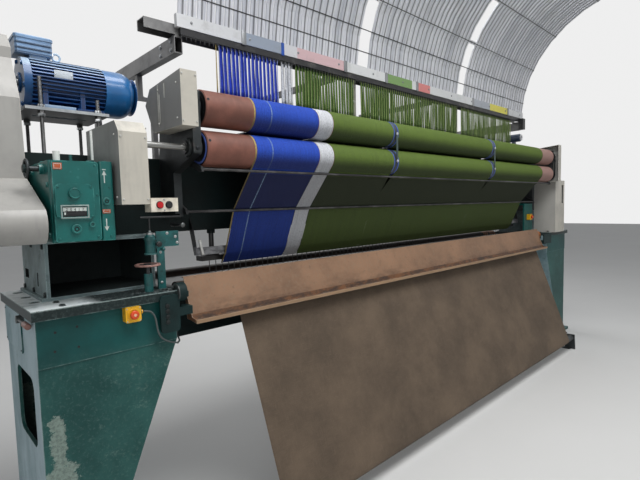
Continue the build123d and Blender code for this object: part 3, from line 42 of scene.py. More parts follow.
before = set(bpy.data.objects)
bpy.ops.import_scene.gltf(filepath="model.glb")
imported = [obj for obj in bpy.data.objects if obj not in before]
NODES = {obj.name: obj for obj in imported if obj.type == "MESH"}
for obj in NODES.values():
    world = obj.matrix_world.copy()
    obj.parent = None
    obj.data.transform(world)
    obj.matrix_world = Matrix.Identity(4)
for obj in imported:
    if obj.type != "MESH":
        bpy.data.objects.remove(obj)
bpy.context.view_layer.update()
FRAME_BODY = "machine_frame"

# The rollers' axis and the machine's middle, which every place below is measured from
ROLLER_LOW, ROLLER_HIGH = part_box("upper_roller")
BEAM_LOW, BEAM_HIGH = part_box("head_beam")
MIDDLE = Vector(((BEAM_LOW.x + BEAM_HIGH.x) / 2, (ROLLER_LOW.y + ROLLER_HIGH.y) / 2, 0.0))
ROLLER_RADIUS = (ROLLER_HIGH.z - ROLLER_LOW.z) / 2
UPPER_Z = (ROLLER_LOW.z + ROLLER_HIGH.z) / 2
LOWER_Z = sum(corner.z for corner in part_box("lower_roller")) / 2

# Camera of the photograph, in the machine's own frame
CAMERA_PLACE = Vector((-3.174, -1.936, 1.597))
CAMERA_RIGHT = Vector((0.724, -0.689, -0.0249))
CAMERA_DOWN = Vector((-0.0701, -0.0376, -0.9968))
CAMERA_AHEAD = Vector((0.6863, 0.7235, -0.0756))
CAMERA_LENS = 25.59

# Room: colour and strength of the light that falls on the machine, and of what the camera sees
ROOM = (((0.93, 0.96, 1.0, 1.0), 0.24), ((0.86, 0.86, 0.86, 1.0), 1.0))
LAMPS = (
    ("ceiling_lamp", (-1.2, -1.6, 5.8), (0.0, 0.1, 1.4), 330.0),
    ("front_fill", (-6.5, -5.5, 3.4), (-1.0, 0.0, 1.2), 70.0),
    ("back_lamp", (2.0, 5.0, 4.5), (0.0, 0.5, 1.5), 100.0),
)
LAMP_SIZE = 4.0
FLOOR_SIZE = 60.0

# Faces and axes of the solids that the fittings sit on, in millimetres
COVER_FRONT = -48.0
PAD_FRONT = -56.0
PLUG_FRONT = -55.0
LEG_FRONT = 25.0
LEG_PLATE_TOP = 1230.0
BOARD_FRONT = 236.0
BUTTON_BOX_FRONT = -92.0
LOWER_GUARD_FRONT = -85.0
UPPER_GUARD_FRONT = -112.0
BOX_GUARD_FRONT = -50.0
BRACKET_FRONT = -58.0
HANGER_FRONT = -92.0
FLAG_FRONT = 94.0
GEARBOX_TOP = 1790.0
GEARBOX_SIDE = -2730.0
UPPER_GUARD_SIDE = -2235.0
MOTOR_AXIS = (600.0, 2205.0)
MOTOR_SHIELD_X = -2682.0
FAN_COVER_X = -2168.0
SHIELD_BOLT_CIRCLE = 104.0
STUD_XS, STUD_Y = (-2632, -2388), 453
WHEEL_AXIS, WHEEL_RIM = (-2341.0, 69.0), 40.0
LUBRICATOR = (-2312, 100)
ROLLER_AXES = (("upper_roller", 2060.0), ("lower_roller", 1876.0))
ROLLER_END = 2100.0
COVER_PIN_ANGLE = 200
HANGERS = (-700.0, 700.0)
ENDS = ((-1, "left"), (1, "right"))
STOP_BUTTONS = (("left_stop_button", -2446, -11, 1156), ("right_stop_button", 2088, 144, 1410))

# Thickness of a roller's cover and radius of its bright journal, in metres
COVER_THICKNESS = 0.0045
JOURNAL_RADIUS = 0.017

# Small fittings by their X and Z: plugs on the leg's front; plugs with their radius, screws, plates and
# arrows on the gearbox cover. ARROW_TURN is twice the height that the upper arrow is mirrored about
LEG_PLUGS = ((-2735, 1133), (-2657, 1141), (-2740, 1059), (-2655, 1059))
COVER_PLUGS = ((-2656, 1531, 16), (-2599, 1546, 9), (-2542, 1634, 13))
COVER_SCREWS = ((-2714, 1497), (-2577, 1497), (-2577, 1773), (-2718, 1640), (-2574, 1660), (-2530, 1497),
                (-2526, 1690))
COVER_PLATES = (("upper", (-2722, 1754), (-2692, 1778)), ("lower", (-2558, 1587), (-2527, 1603)))
ARROW = ((-2546, 1706), (-2542, 1706), (-2542, 1737), (-2535, 1737), (-2544, 1754), (-2553, 1737),
         (-2546, 1737))
ARROW_TURN = 3272
ARROW_BAR = ((-2551, 1757), (-2537, 1757), (-2537, 1760), (-2551, 1760))

# Gearbox bolts by X and Y on its top and by Y and Z on its side, tapes by Y and their span in Z, and the
# outline of a clip
GEARBOX_TOP_BOLTS = ((-2716, 120), (-2630, 60), (-2600, 150), (-2530, 120), (-2580, 10), (-2524, 8))
GEARBOX_SIDE_BOLTS = ((10, 1510), (10, 1700), (130, 1500), (230, 1600), (230, 1760))
GUARD_TAPES = ((112, 1978, 2166), (98, 1990, 2120), (46, 2096, 2160))
CLIP = ((-13, -38), (13, -38), (15, -30), (15, 30), (13, 38), (-13, 38), (-15, 30), (-15, -30))

# Zones of paint by their spans: bare patches of the leg, bands of the terminal box, pale caps and the
# lever's grip
LEG_PATCHES = (((-2812, -2668), (180, 620)), ((-2790, -2706), (300, 820)))
LID_BANDS = ((2345, 2355), (2369, 2379), (2330, 2337))
GEARBOX_CAPS = (((-2710, -2680), None, (1791, 1840)), ((-2564, -2548), None, (1802, 1950)))
LEVER_GRIP = ((None, (0, 112), None),)

# Openings of the end frames, the same on both ends: spans from the middle, of Y and of Z, and how soft their
# edges are. Inside them the paint is near black, as painted shade
FRAME_BAYS = (
    ((2275.5, 2706.5), (183, 586.5), (1243.5, 1466.5), 0.8),
    ((2700, 2719.4), (310.5, 333.5), (1276.5, 1339.5), 0.4),
    ((2700, 2719.4), (485.5, 562.5), (1296.5, 1339.5), 0.4),
)

# Yarn tubes: middle of the arch in millimetres and in metres of height, strips of six tubes, ribs in degrees
ARCH_Y, ARCH_Z = -850.0, 2.5
TUBES_START, TUBES_PITCH = -2025.0, 54.0
STRIP_WAVES = 37.7
TUBE_RIBS = (9.0, 16.5, 27.5, 47.0, 71.0)

# Plain fields of colour on the header board: ends in X and colour
LABELS = (
    (-1664, -1379, (0.33, 0.38, 0.46)), (-1379, -1268, (0.7, 0.7, 0.72)), (-1268, -838, (0.72, 0.5, 0.52)),
    (-390, -57, (0.2, 0.34, 0.12)), (12, 200, (0.72, 0.25, 0.24)), (931, 1275, (0.42, 0.45, 0.5)),
    (1275, 1684, (0.8, 0.72, 0.12)),
)

# Where the yarn runs: Y, Z, radius and turning side of each station; it lies a little proud of the steel.
# Its mesh has the given longest steps along a run and round an arc
YARN_LIFT = 1.25
YARN_STEPS = (45.0, 9.0)
YARN_STATIONS = (
    (251.25, 2215.0, 0.0, 1), (240.0, 2165.0, 10.0 + YARN_LIFT, -1), (0.0, 2060.0, 84.0 + YARN_LIFT, 1),
    (200.0, 1968.0, 6.0 + YARN_LIFT, -1), (0.0, 1876.0, 84.0 + YARN_LIFT, 1),
    (-38.0, 1777.0, 7.0 + YARN_LIFT, -1), (130.0, 1582.0, 7.0 + YARN_LIFT, -1),
    (242.0, 1350.0, 2.0 + YARN_LIFT, 1), (281.0, 1292.0, 0.0, 1),
)
# Bands along the machine, and in metres a pale streak's place, the free run's span and the rollers' span,
# which bound the yarn's painted shade
YARN_BANDS = (
    ("edge", (-1839.0, -1830.0)), ("blue", (-1829.0, -1404.0)), ("white", (-1400.0, -1290.0)),
    ("green", (-1286.0, -726.0)), ("green", (-674.0, 674.0)), ("green", (726.0, 1790.0)),
)
YARN_STREAK = ((0.2, 0.3, 0.42), 2.095, 2.101)
FREE_TOP, FREE_FOOT = 1.775, 1.585
ROLLERS_FOOT, ROLLERS_TOP = 1.785, 2.16
RIDGE_CREST, RIDGE_VALLEY = 0.6, -0.55
WANDER_LENGTH = 170.0
HANGER_GAP = 26.0
GATHER_TOP, GATHER_FALL, GATHER_REACH = 1836.0, 150.0, 300.0

# Yarn ends between the comb and the top bar. Each row: name, width by a single yarn's, distance behind,
# offset in pitches, most turn, and its width at the top and what it gains on the way down
STRAND_TOP, STRAND_FOOT = 2478.0, 2219.0
STRAND_Y = 249.5
STRAND_PITCH = 26.0
STRAND_RINGS = 9
STRAND_SIDES = 6
STRAND_FLAT = 1.6
STRAND_ROWS = (("front", 1.0, 0.0, 0.5, 0.5, 0.7, 0.45), ("back", 3.9, 9.0, 1.0, 0.12, 0.88, 0.2))
COMB_START, COMB_TEETH = -2033, 156

# Backing cloth: half width, foot behind the needles, and stations over the feed roller to the floor bar
CLOTH_HALF = 1900.0
CLOTH_COLUMNS = 96
CLOTH_STEPS = (40.0, 8.0)
CLOTH_START = (282.0, 1201.8, math.pi)
CLOTH_STATIONS = (
    (246.0, 1201.8, 0.0, 1), (125.0, 1200.0, 49.8, 1), (-300.0, 120.0, 31.8, 1), (-240.0, 88.2, 0.0, 1),
)

# Stop cable: points from the stop box to the bed
CABLE_RADIUS = 0.004
CABLE_ROUTE = (
    (-2404, 2, 1160), (-2378, 1, 1159), (-2360, -1, 1147), (-2348, -3, 1120), (-2345, -5, 1082),
    (-2340, -6, 1050), (-2322, -1, 1022), (-2286, 8, 998), (-2246, 18, 984), (-2224, 52, 970),
    (-2200, 104, 957), (-2168, 148, 950), (-2160, 184, 962), (-2158, 202, 996), (-2160, 204, 1040),
    (-2160, 204, 1072),
)

# Full turn for random phases, a hexagon's corner radius by its width, and how a fitting faces
FULL_TURN = 6.28
HEX_RADIUS = 0.577
TURNS = {
    "up": Matrix.Identity(4),
    "down": Matrix.Rotation(math.pi, 4, "X"),
    "front": Matrix.Rotation(math.pi / 2, 4, "X"),
    "left": Matrix.Rotation(-math.pi / 2, 4, "Y"),
    "right": Matrix.Rotation(math.pi / 2, 4, "Y"),
}


def place(x, y, z):
    """Point of the machine's own frame, in millimetres, as a point of the row frame."""
    return Vector((x, y, z)) / 1000 + MIDDLE


def shade(colour, factor):
    """Colour made lighter or darker."""
    return tuple(min(1.0, channel * factor) for channel in colour)


class Term:
    """A value inside a material; arithmetic on it adds the nodes that work it out."""

    def __init__(self, recipe, socket):
        self.recipe = recipe
        self.socket = socket

    def maths(self, operation, first, second=0.0):
        """One step of arithmetic."""
        node = self.recipe.node("ShaderNodeMath", {"operation": operation}, {0: first, 1: second})
        return Term(self.recipe, node.outputs[0])

    def __add__(self, other):
        return self.maths("ADD", self, other)

    def __radd__(self, other):
        return self.maths("ADD", other, self)

    def __sub__(self, other):
        return self.maths("SUBTRACT", self, other)

    def __rsub__(self, other):
        return self.maths("SUBTRACT", other, self)

    def __mul__(self, other):
        return self.maths("MULTIPLY", self, other)

    def size(self):
        """The value without its sign."""
        return self.maths("ABSOLUTE", self)

    def wave(self):
        """Sine of the value."""
        return self.maths("SINE", self)

    def fraction(self):
        """What is left after the whole number."""
        return self.maths("FRACT", self)

    def bearing(self, other):
        """Angle of a point from its rise and its run."""
        return self.maths("ARCTAN2", self, other)

    def root(self):
        """Square root of the value."""
        return self.maths("SQRT", self)

    def larger(self, other):
        """The greater of two values."""
        return self.maths("MAXIMUM", self, other)

    def step(self, low, high):
        """Smooth rise from 0 to 1 between two values."""
        node = self.recipe.node("ShaderNodeMapRange", {"interpolation_type": "SMOOTHSTEP"},
                                {"Value": self, "From Min": low, "From Max": high})
        return Term(self.recipe, node.outputs[0])


def either(masks):
    """The greatest of several masks."""
    return functools.reduce(Term.larger, masks)


def radius_of(first, second):
    """Distance from an axis by the offsets across it."""
    return (first * first + second * second).root()


class Recipe:
    """Node tree of one material."""

    def __init__(self, name):
        self.material = bpy.data.materials.new(name)
        self.material.use_nodes = True
        self.tree = self.material.node_tree
        self.tree.nodes.clear()
        output = self.node("ShaderNodeOutputMaterial")
        self.shader = self.node("ShaderNodeBsdfPrincipled")
        self.tree.links.new(self.shader.outputs[0], output.inputs["Surface"])
        self.where = self.node("ShaderNodeTexCoord").outputs["Object"]
        self.x, self.y, self.z = self.split(self.where)

    def node(self, kind, settings=None, inputs=None):
        """One node, its settings first and then the values or links of its sockets."""
        node = self.tree.nodes.new(kind)
        for key, value in (settings or {}).items():
            setattr(node, key, value)
        for key, value in (inputs or {}).items():
            self.feed(node.inputs[key], value)
        return node

    def feed(self, socket, value):
        """Links a socket to a value or sets it."""
        if isinstance(value, Term):
            value = value.socket
        if isinstance(value, bpy.types.NodeSocket):
            self.tree.links.new(value, socket)
        elif isinstance(value, tuple) and len(value) == 3 and socket.type == "RGBA":
            socket.default_value = (*value, 1.0)
        else:
            socket.default_value = value

    def split(self, vector):
        """The three parts of a vector."""
        node = self.node("ShaderNodeSeparateXYZ", {}, {0: vector})
        return tuple(Term(self, socket) for socket in node.outputs)

    def vector_maths(self, operation, first, second):
        """Node that works on two vectors."""
        return self.node("ShaderNodeVectorMath", {"operation": operation}, {0: first, 1: second})

    def lay(self):
        """The piece's own lay across and along it, in metres."""
        return self.node("ShaderNodeUVMap", {"uv_map": "lay"}).outputs[0]

    def noise(self, scale, detail=3.0, rough=0.55, stretch=None, vector=None):
        """Cloudy noise from 0 to 1, stretched on each axis where that is asked for."""
        vector = vector or self.where
        if stretch:
            vector = self.vector_maths("MULTIPLY", vector, stretch).outputs[0]
        inputs = {"Vector": vector, "Scale": scale, "Detail": detail, "Roughness": rough}
        return Term(self, self.node("ShaderNodeTexNoise", {}, inputs).outputs["Fac"])

    def grain(self, across, along, detail, rough=0.6):
        """Noise over the piece's own lay, with its fineness across and along."""
        return self.noise(1.0, detail, rough, (across, along, 1.0), self.lay())

    def cells(self, scale):
        """Distance from the centres of random cells."""
        node = self.node("ShaderNodeTexVoronoi", {}, {"Vector": self.where, "Scale": scale})
        return Term(self, node.outputs["Distance"])

    def mix(self, first, second, share):
        """Colour between two colours."""
        return self.node("ShaderNodeMix", {"data_type": "RGBA"}, {0: share, 6: first, 7: second}).outputs[2]

    def tones(self, colour, dark, light, share):
        """Colour between a darker and a lighter shade of itself."""
        return self.mix(shade(colour, dark), shade(colour, light), share)

    def layers(self, base, *coats):
        """Colour with further colours over it, each laid on by its share."""
        for tint, share in coats:
            base = self.mix(base, tint, share)
        return base

    def edges(self, radius):
        """1 on the piece's worn edges, 0 on its flats."""
        bevel = self.node("ShaderNodeBevel", {"samples": 6}, {"Radius": radius})
        flat = self.node("ShaderNodeNewGeometry")
        dot = self.vector_maths("DOT_PRODUCT", bevel.outputs[0], flat.outputs["Normal"])
        return (1.0 - Term(self, dot.outputs["Value"])).step(0.01, 0.12)

    def zone(self, x=None, y=None, z=None, soft=0.8):
        """1 inside the given spans of the machine's own frame, in millimetres."""
        mask = None
        soft /= 1000
        for term, span, shift in ((self.x, x, MIDDLE.x), (self.y, y, MIDDLE.y), (self.z, z, MIDDLE.z)):
            if span is None:
                continue
            low, high = (value / 1000 + shift for value in span)
            inside = (term - low).step(-soft, soft) * (high - term).step(-soft, soft)
            mask = inside if mask is None else mask * inside
        return mask

    def right_of(self, x):
        """1 to the right of a place along the machine, in millimetres."""
        return (self.x - place(x, 0, 0).x).step(0.0, 0.01)

    def normal(self):
        """The three parts of the surface's direction."""
        return self.split(self.node("ShaderNodeNewGeometry").outputs["Normal"])

    def finish(self, colour, rough, height=None, depth=0.0, strength=0.3, **sockets):
        """Sets the shader's sockets, with a bump where a height is given, and gives the material."""
        sockets.update(base_color=colour, roughness=rough)
        if height is not None:
            inputs = {"Height": height, "Distance": depth, "Strength": strength}
            sockets["normal"] = self.node("ShaderNodeBump", {}, inputs).outputs[0]
        for name, value in sockets.items():
            self.feed(self.shader.inputs[name.replace("_", " ").title().replace("Ior", "IOR")], value)
        return self.material


def colour_property(name, words, default):
    """Colour that a user may change."""
    return bpy.props.FloatVectorProperty(
        name=name, description=words, default=default, size=3, min=0.0, max=1.0, subtype="COLOR"
    )


def length_property(name, words, default, low):
    """Length that a user may change, in metres."""
    return bpy.props.FloatProperty(
        name=name, description=words, default=default, min=low, unit="LENGTH", precision=4
    )


class MachineColours(bpy.types.PropertyGroup):
    """Colours of the machine's finishes."""

    teal: colour_property("Teal", "Paint of the castings and legs", (0.003, 0.12, 0.108))
    worn: colour_property("Worn paint", "Primer under the rubbed teal", (0.24, 0.31, 0.27))
    guard: colour_property("Guard grey", "Paint of the sheet-metal guards", (0.56, 0.53, 0.46))
    motor: colour_property("Motor blue", "Paint of the motor", (0.01, 0.11, 0.33))
    lid: colour_property("Terminal box", "Pale paint of the motor's terminal box", (0.17, 0.29, 0.47))
    cover: colour_property("Roller cover", "Covering of the yarn rollers", (0.19, 0.072, 0.05))
    blue: colour_property("Blue yarn", "Blue yarn", (0.011, 0.07, 0.5))
    green: colour_property("Green yarn", "Green yarn", (0.1, 0.162, 0.017))
    white: colour_property("White yarn", "White yarn", (0.72, 0.74, 0.78))
    beige: colour_property("Edge yarn", "Pale yarn at the edge of the blue", (0.5, 0.38, 0.14))
    apron: colour_property("Apron", "Brown sheet of the apron", (0.245, 0.138, 0.08))
    cloth: colour_property("Backing cloth", "Woven backing", (0.105, 0.075, 0.05))
    steel: colour_property("Steel", "Machined steel", (0.4, 0.41, 0.41))
    iron: colour_property("Dark iron", "Oily castings and rods", (0.045, 0.05, 0.052))


class MachineSizes(bpy.types.PropertyGroup):
    """Sizes of the pieces that the scene adds."""

    yarn_pitch: length_property("Yarn ridge", "Spacing of the ridges on the yarn sheet", 0.009, 0.004)
    strand_width: length_property("Strand width", "Width of a yarn between header and roller", 0.0068, 0.001)
    bolt_size: length_property("Bolt head", "Width of a common hexagon head", 0.019, 0.004)


def colour_of(name):
    """Colour as the user set it."""
    return tuple(getattr(bpy.context.scene.machine_colours, name))


def size_of(name):
    """Size as the user set it, in millimetres."""
    return getattr(bpy.context.scene.machine_sizes, name) * 1000


def turn_angle(first, second):
    """Direction of the straight run between two round stations of a path in Y and Z."""
    dy = second[0] - first[0]
    dz = second[1] - first[1]
    turn = (first[3] * first[2] - second[3] * second[2]) / math.hypot(dy, dz)
    return math.atan2(dz, dy) + math.asin(turn)


def touch(station, angle):
    """Where a run with the given direction touches a round station."""
    reach = station[3] * station[2]
    return station[0] + reach * math.sin(angle), station[1] - reach * math.cos(angle)


def path_points(stations, step, arc_step):
    """Points along runs and arcs round stations given as Y, Z, radius and turning side."""
    pairs = list(zip(stations, stations[1:]))
    angles = [turn_angle(first, second) for first, second in pairs]
    points = []
    for index, ((first, second), angle) in enumerate(zip(pairs, angles)):
        start, end = (Vector(touch(station, angle)) for station in (first, second))
        count = max(1, round((end - start).length / step))
        for part in range(count + 1):
            points.append((*start.lerp(end, part / count), angle))
        if index + 1 < len(pairs):
            bend = angles[index + 1] - angle
            bend = (bend + math.pi) % (2 * math.pi) - math.pi
            if second[3] * bend < 0:
                bend += second[3] * 2 * math.pi
            pieces = max(1, math.ceil(abs(bend) * second[2] / arc_step))
            for part in range(1, pieces):
                turn = angle + bend * part / pieces
                points.append((*touch(second, turn), turn))
    return points


def path_lengths(points):
    """Length of the path up to each of its points."""
    pairs = zip(points, points[1:])
    steps = (math.hypot(after[0] - before[0], after[1] - before[1]) for before, after in pairs)
    return list(itertools.accumulate(steps, initial=0.0))


def laid_mesh(name, vertices, faces, measures):
    """Smooth mesh with a UV map of each vertex's place across and along it, in metres."""
    mesh = bpy.data.meshes.new(name)
    mesh.from_pydata(vertices, [], faces)
    layer = mesh.uv_layers.new(name="lay")
    for loop in mesh.loops:
        layer.data[loop.index].uv = measures[loop.vertex_index]
    mesh.polygons.foreach_set("use_smooth", [True] * len(mesh.polygons))
    mesh.update()
    return mesh


def woven_mesh(name, rows, columns, spot):
    """Mesh of a sheet from its points by row and column."""
    spots = [spot(row, column) for row in range(rows) for column in range(columns)]
    faces = []
    for row, column in itertools.product(range(rows - 1), range(columns - 1)):
        corner = row * columns + column
        faces.append((corner, corner + 1, corner + columns + 1, corner + columns))
    return laid_mesh(name, [point for point, _ in spots], faces, [measure for _, measure in spots])


def finished(piece, name, material, slot, body=FRAME_BODY):
    """Names a piece, gives it its finish and lets it ride on its body."""
    piece.name = name
    piece.data.name = name
    piece.data.materials.clear()
    piece.data.materials.append(material)
    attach(piece, body)
    return piece


def new_piece(name, mesh, material, slot):
    """Object of a mesh that rides on the frame."""
    piece = bpy.data.objects.new(name, mesh)
    bpy.context.scene.collection.objects.link(piece)
    return finished(piece, name, material, slot)


def edit(piece):
    """Opens one piece for editing with all of it selected."""
    bpy.ops.object.select_all(action="DESELECT")
    piece.select_set(True)
    bpy.context.view_layer.objects.active = piece
    bpy.ops.object.mode_set(mode="EDIT")
    bpy.ops.mesh.select_all(action="SELECT")


def pick(piece, test):
    """Selects, while editing, only the faces that pass a test."""
    bpy.ops.mesh.select_mode(type="FACE")
    bpy.ops.mesh.select_all(action="DESELECT")
    shape = bmesh.from_edit_mesh(piece.data)
    for face in shape.faces:
        face.select_set(test(face))
    bmesh.update_edit_mesh(piece.data)


def done(piece, angle=0.7):
    """Closes the editing and smooths the rounded sides."""
    bpy.ops.object.mode_set(mode="OBJECT")
    bpy.ops.object.shade_smooth_by_angle(angle=angle)
    return piece


def opened_cube(low, high):
    """Cube between two corners in millimetres, open for editing."""
    low, high = place(*low), place(*high)
    bpy.ops.object.select_all(action="DESELECT")
    bpy.ops.mesh.primitive_cube_add(size=1.0, location=(low + high) / 2, scale=high - low)
    piece = bpy.context.active_object
    bpy.ops.object.transform_apply(location=True, rotation=True, scale=True)
    edit(piece)
    return piece


def shaped_box(low, high, round_by):
    """Box between two corners in millimetres, its edges rounded."""
    piece = opened_cube(low, high)
    bpy.ops.mesh.bevel(offset=round_by / 1000, segments=2, affect="EDGES")
    return done(piece)


def frame_ring(low, high, border, round_by=0.6):
    """Square rim with an open middle, seen from the front."""
    piece = opened_cube(low, high)
    pick(piece, lambda face: abs(face.normal.y) > 0.9)
    bpy.ops.mesh.inset(thickness=border / 1000, use_individual=True)
    bpy.ops.mesh.bridge_edge_loops()
    bpy.ops.mesh.select_all(action="SELECT")
    bpy.ops.mesh.bevel(offset=round_by / 1000, segments=1, affect="EDGES")
    bpy.ops.mesh.normals_make_consistent(inside=False)
    return done(piece)


def turned(stations, sides=20):
    """Turned shape along Z from its radius and height at each station, in millimetres."""
    bpy.ops.object.select_all(action="DESELECT")
    radius, height = stations[0]
    bpy.ops.mesh.primitive_circle_add(
        vertices=sides, radius=radius / 1000, fill_type="NGON", location=(0.0, 0.0, height / 1000)
    )
    piece = bpy.context.active_object
    bpy.ops.object.transform_apply(location=True, rotation=True, scale=True)
    edit(piece)
    for (before, low), (after, high) in zip(stations, stations[1:]):
        bpy.ops.mesh.extrude_region_move(TRANSFORM_OT_translate={"value": (0.0, 0.0, (high - low) / 1000)})
        ratio = after / before
        bpy.ops.transform.resize(value=(ratio, ratio, 1.0), center_override=(0.0, 0.0, high / 1000))
    bpy.ops.mesh.select_all(action="SELECT")
    bpy.ops.mesh.normals_make_consistent(inside=False)
    return done(piece)


def outline_plate(points, front, depth, round_by=0.0):
    """Plate that faces the front, from its outline in X and Z in millimetres."""
    bpy.ops.object.select_all(action="DESELECT")
    bpy.ops.mesh.primitive_circle_add(vertices=len(points), radius=1.0, fill_type="NGON")
    piece = bpy.context.active_object
    for vertex, (x, z) in zip(piece.data.vertices, points):
        vertex.co = place(x, front + depth, z)
    edit(piece)
    bpy.ops.mesh.extrude_region_move(TRANSFORM_OT_translate={"value": (0.0, -depth / 1000, 0.0)})
    bpy.ops.mesh.select_all(action="SELECT")
    bpy.ops.mesh.normals_make_consistent(inside=False)
    if round_by:
        bpy.ops.mesh.bevel(offset=round_by / 1000, segments=2, affect="EDGES")
    return done(piece)


def figures(text, height):
    """Generic figures made of thin mesh, their height in millimetres."""
    bpy.ops.object.select_all(action="DESELECT")
    bpy.ops.object.text_add(location=(0.0, 0.0, 0.0))
    words = bpy.context.active_object.data
    words.body = text
    words.size = height / 700
    words.extrude = 0.0002
    words.align_x = "CENTER"
    words.space_character = 1.25
    words.resolution_u = 3
    bpy.ops.object.convert(target="MESH")
    return bpy.context.active_object


def at(x, y, z, side="front", size=1.0):
    """Place, facing and size of a fitting."""
    return Matrix.Translation(place(x, y, z)) @ TURNS[side] @ Matrix.Scale(size, 4)


def grid(xs, ys, zs, side="front", size=1.0):
    """Places of a fitting at every crossing of the given X, Y and Z."""
    spans = [values if isinstance(values, tuple) else (values,) for values in (xs, ys, zs)]
    return [at(*spot, side, size) for spot in itertools.product(*spans)]


def fitted(name, master, spots, material, slot, body=FRAME_BODY):
    """Copies of a modelled shape on their places, each with its own mesh, joined into one piece."""
    bpy.ops.object.select_all(action="DESELECT")
    pieces = []
    for turn in spots:
        mesh = master.data.copy()
        mesh.transform(turn)
        piece = bpy.data.objects.new(name, mesh)
        bpy.context.scene.collection.objects.link(piece)
        piece.select_set(True)
        pieces.append(piece)
    bpy.context.view_layer.objects.active = pieces[0]
    if len(pieces) > 1:
        bpy.ops.object.join()
    bpy.data.objects.remove(master, do_unlink=True)
    return finished(pieces[0], name, material, slot, body)


def bolt_head(height=6.0):
    """Hexagon bolt head with a chamfered top, on its washer."""
    radius = size_of("bolt_size") * HEX_RADIUS
    return turned(((radius * 1.25, 0.0), (radius * 1.25, 1.6), (radius, 1.6), (radius, height),
                   (radius * 0.82, height + 1.2)), 6)


def screw_head(radius=5.0, sides=14):
    """Domed screw head with a sunk socket."""
    return turned(((radius, 0.0), (radius, 1.6), (radius * 0.8, 2.8), (radius * 0.46, 3.1),
                   (radius * 0.4, 1.4)), sides)


def bezel(radius, height, rim, sides=28):
    """Round rim with a sunk face."""
    return turned(((radius, 0.0), (radius, height * 0.7), (radius - rim * 0.3, height),
                   (radius - rim * 0.8, height), (radius - rim, height * 0.5),
                   (radius * 0.3, height * 0.45)), sides)


def cast_paint(name, colour, worn, dirt=0.35, gloss=0.42):
    """Brushed machine paint on castings: soft brush marks, rubbed edges lightened also as a painted
    highlight, oily dirt and small chips.
    """
    r = Recipe(name)
    cloud = r.noise(3.2, 5.0, 0.62)
    fine = r.noise(46.0, 3.0, 0.6)
    grease = r.noise(6.5, 6.0, 0.7, (1.0, 1.0, 0.45)).step(0.5, 0.72)
    chips = (r.cells(34.0) * -1.0 + r.noise(9.0, 4.0, 0.6) * 0.55).step(0.16, 0.2)
    # Rubbed edges, lightened as real wear and as a painted highlight
    rub_and_highlight = r.edges(0.006) * r.noise(21.0, 3.0).step(0.38, 0.6)
    base = r.layers(r.tones(colour, 0.72, 1.25, cloud.step(0.3, 0.72)), (shade(colour, 0.3), grease * dirt),
                    (worn, chips * 0.14), (shade(worn, 1.5), rub_and_highlight * 0.5))
    return r.finish(base, gloss + fine * 0.16 + grease * 0.12, fine * 0.4 + cloud + rub_and_highlight * -1.0, 0.0012, 0.35)


def leg_paint(name, colour, worn):
    """Leg paint: end face painted pale as light falling on it, a near-black band on the plate's edge, bare
    metal on top, scuffs and a bare patch low in front.
    """
    r = Recipe(name)
    nx, _, nz = r.normal()
    cloud = r.noise(2.6, 6.0, 0.66)
    fine = r.noise(70.0, 5.0, 0.72)
    scratch = r.noise(9.0, 6.0, 0.8, (1.0, 1.0, 1.6)).step(0.56, 0.64)
    scuffed = r.layers(r.mix((0.006, 0.05, 0.045), (0.024, 0.1, 0.088), cloud.step(0.34, 0.66)),
                       ((0.08, 0.15, 0.135), fine.step(0.5, 0.68) * 0.5),
                       ((0.12, 0.19, 0.17), scratch * fine.step(0.42, 0.6) * 0.6))
    patch = either(r.zone(x=x, z=z, soft=60.0) for x, z in LEG_PATCHES)
    patch = (patch * 0.95 + r.noise(17.0, 6.0, 0.82) * 1.15).step(1.2, 1.25)
    # Painted light: the end face is given a pale blue-grey as if lit from the left
    drift = r.noise(2.1, 6.0, 0.7, (1.0, 1.0, 0.5))
    lit_end_face = r.mix(r.mix((0.16, 0.26, 0.29), (0.42, 0.54, 0.59), drift.step(0.34, 0.66)),
                  (0.02, 0.035, 0.035), r.noise(5.0, 6.0, 0.74).step(0.56, 0.7) * 0.7)
    # Near-black band on the plate's edge
    oily = r.mix((0.006, 0.011, 0.011), (0.035, 0.05, 0.05), fine.step(0.45, 0.7))
    upward = nz.step(0.6, 0.9)
    rubbed = (-2.48 - r.x).step(-0.03, 0.05)
    bare = r.mix((0.8, 0.86, 0.87), (0.4, 0.47, 0.48), r.noise(9.0, 6.0, 0.74).step(0.46, 0.7))
    base = r.layers(
        r.tones(colour, 0.62, 1.2, cloud.step(0.3, 0.7)),
        (scuffed, (1.01 - r.z).step(-0.05, 0.06) * 0.85),
        (r.tones(worn, 1.0, 0.6, fine.step(0.4, 0.62)), patch * 0.9),
        (lit_end_face, nx.size().step(0.6, 0.95) * 0.9),
        (oily, r.zone(z=(1190, 1240), soft=0.6) * 0.94),
        (bare, upward * r.zone(z=(1185, 1240)) * (rubbed * 0.95 + fine.step(0.52, 0.66) * 0.35)),
        ((0.3, 0.36, 0.35), r.zone(z=(1226, 1232)) * (1.0 - upward) * fine.step(0.36, 0.5) * 0.8),
        ((0.24, 0.34, 0.33), r.edges(0.006) * r.noise(18.0, 4.0).step(0.36, 0.6) * 0.7),
    )
    return r.finish(base, 0.4 + fine * 0.24, cloud + fine * 0.3, 0.0016, 0.4, specular_ior_level=0.32)


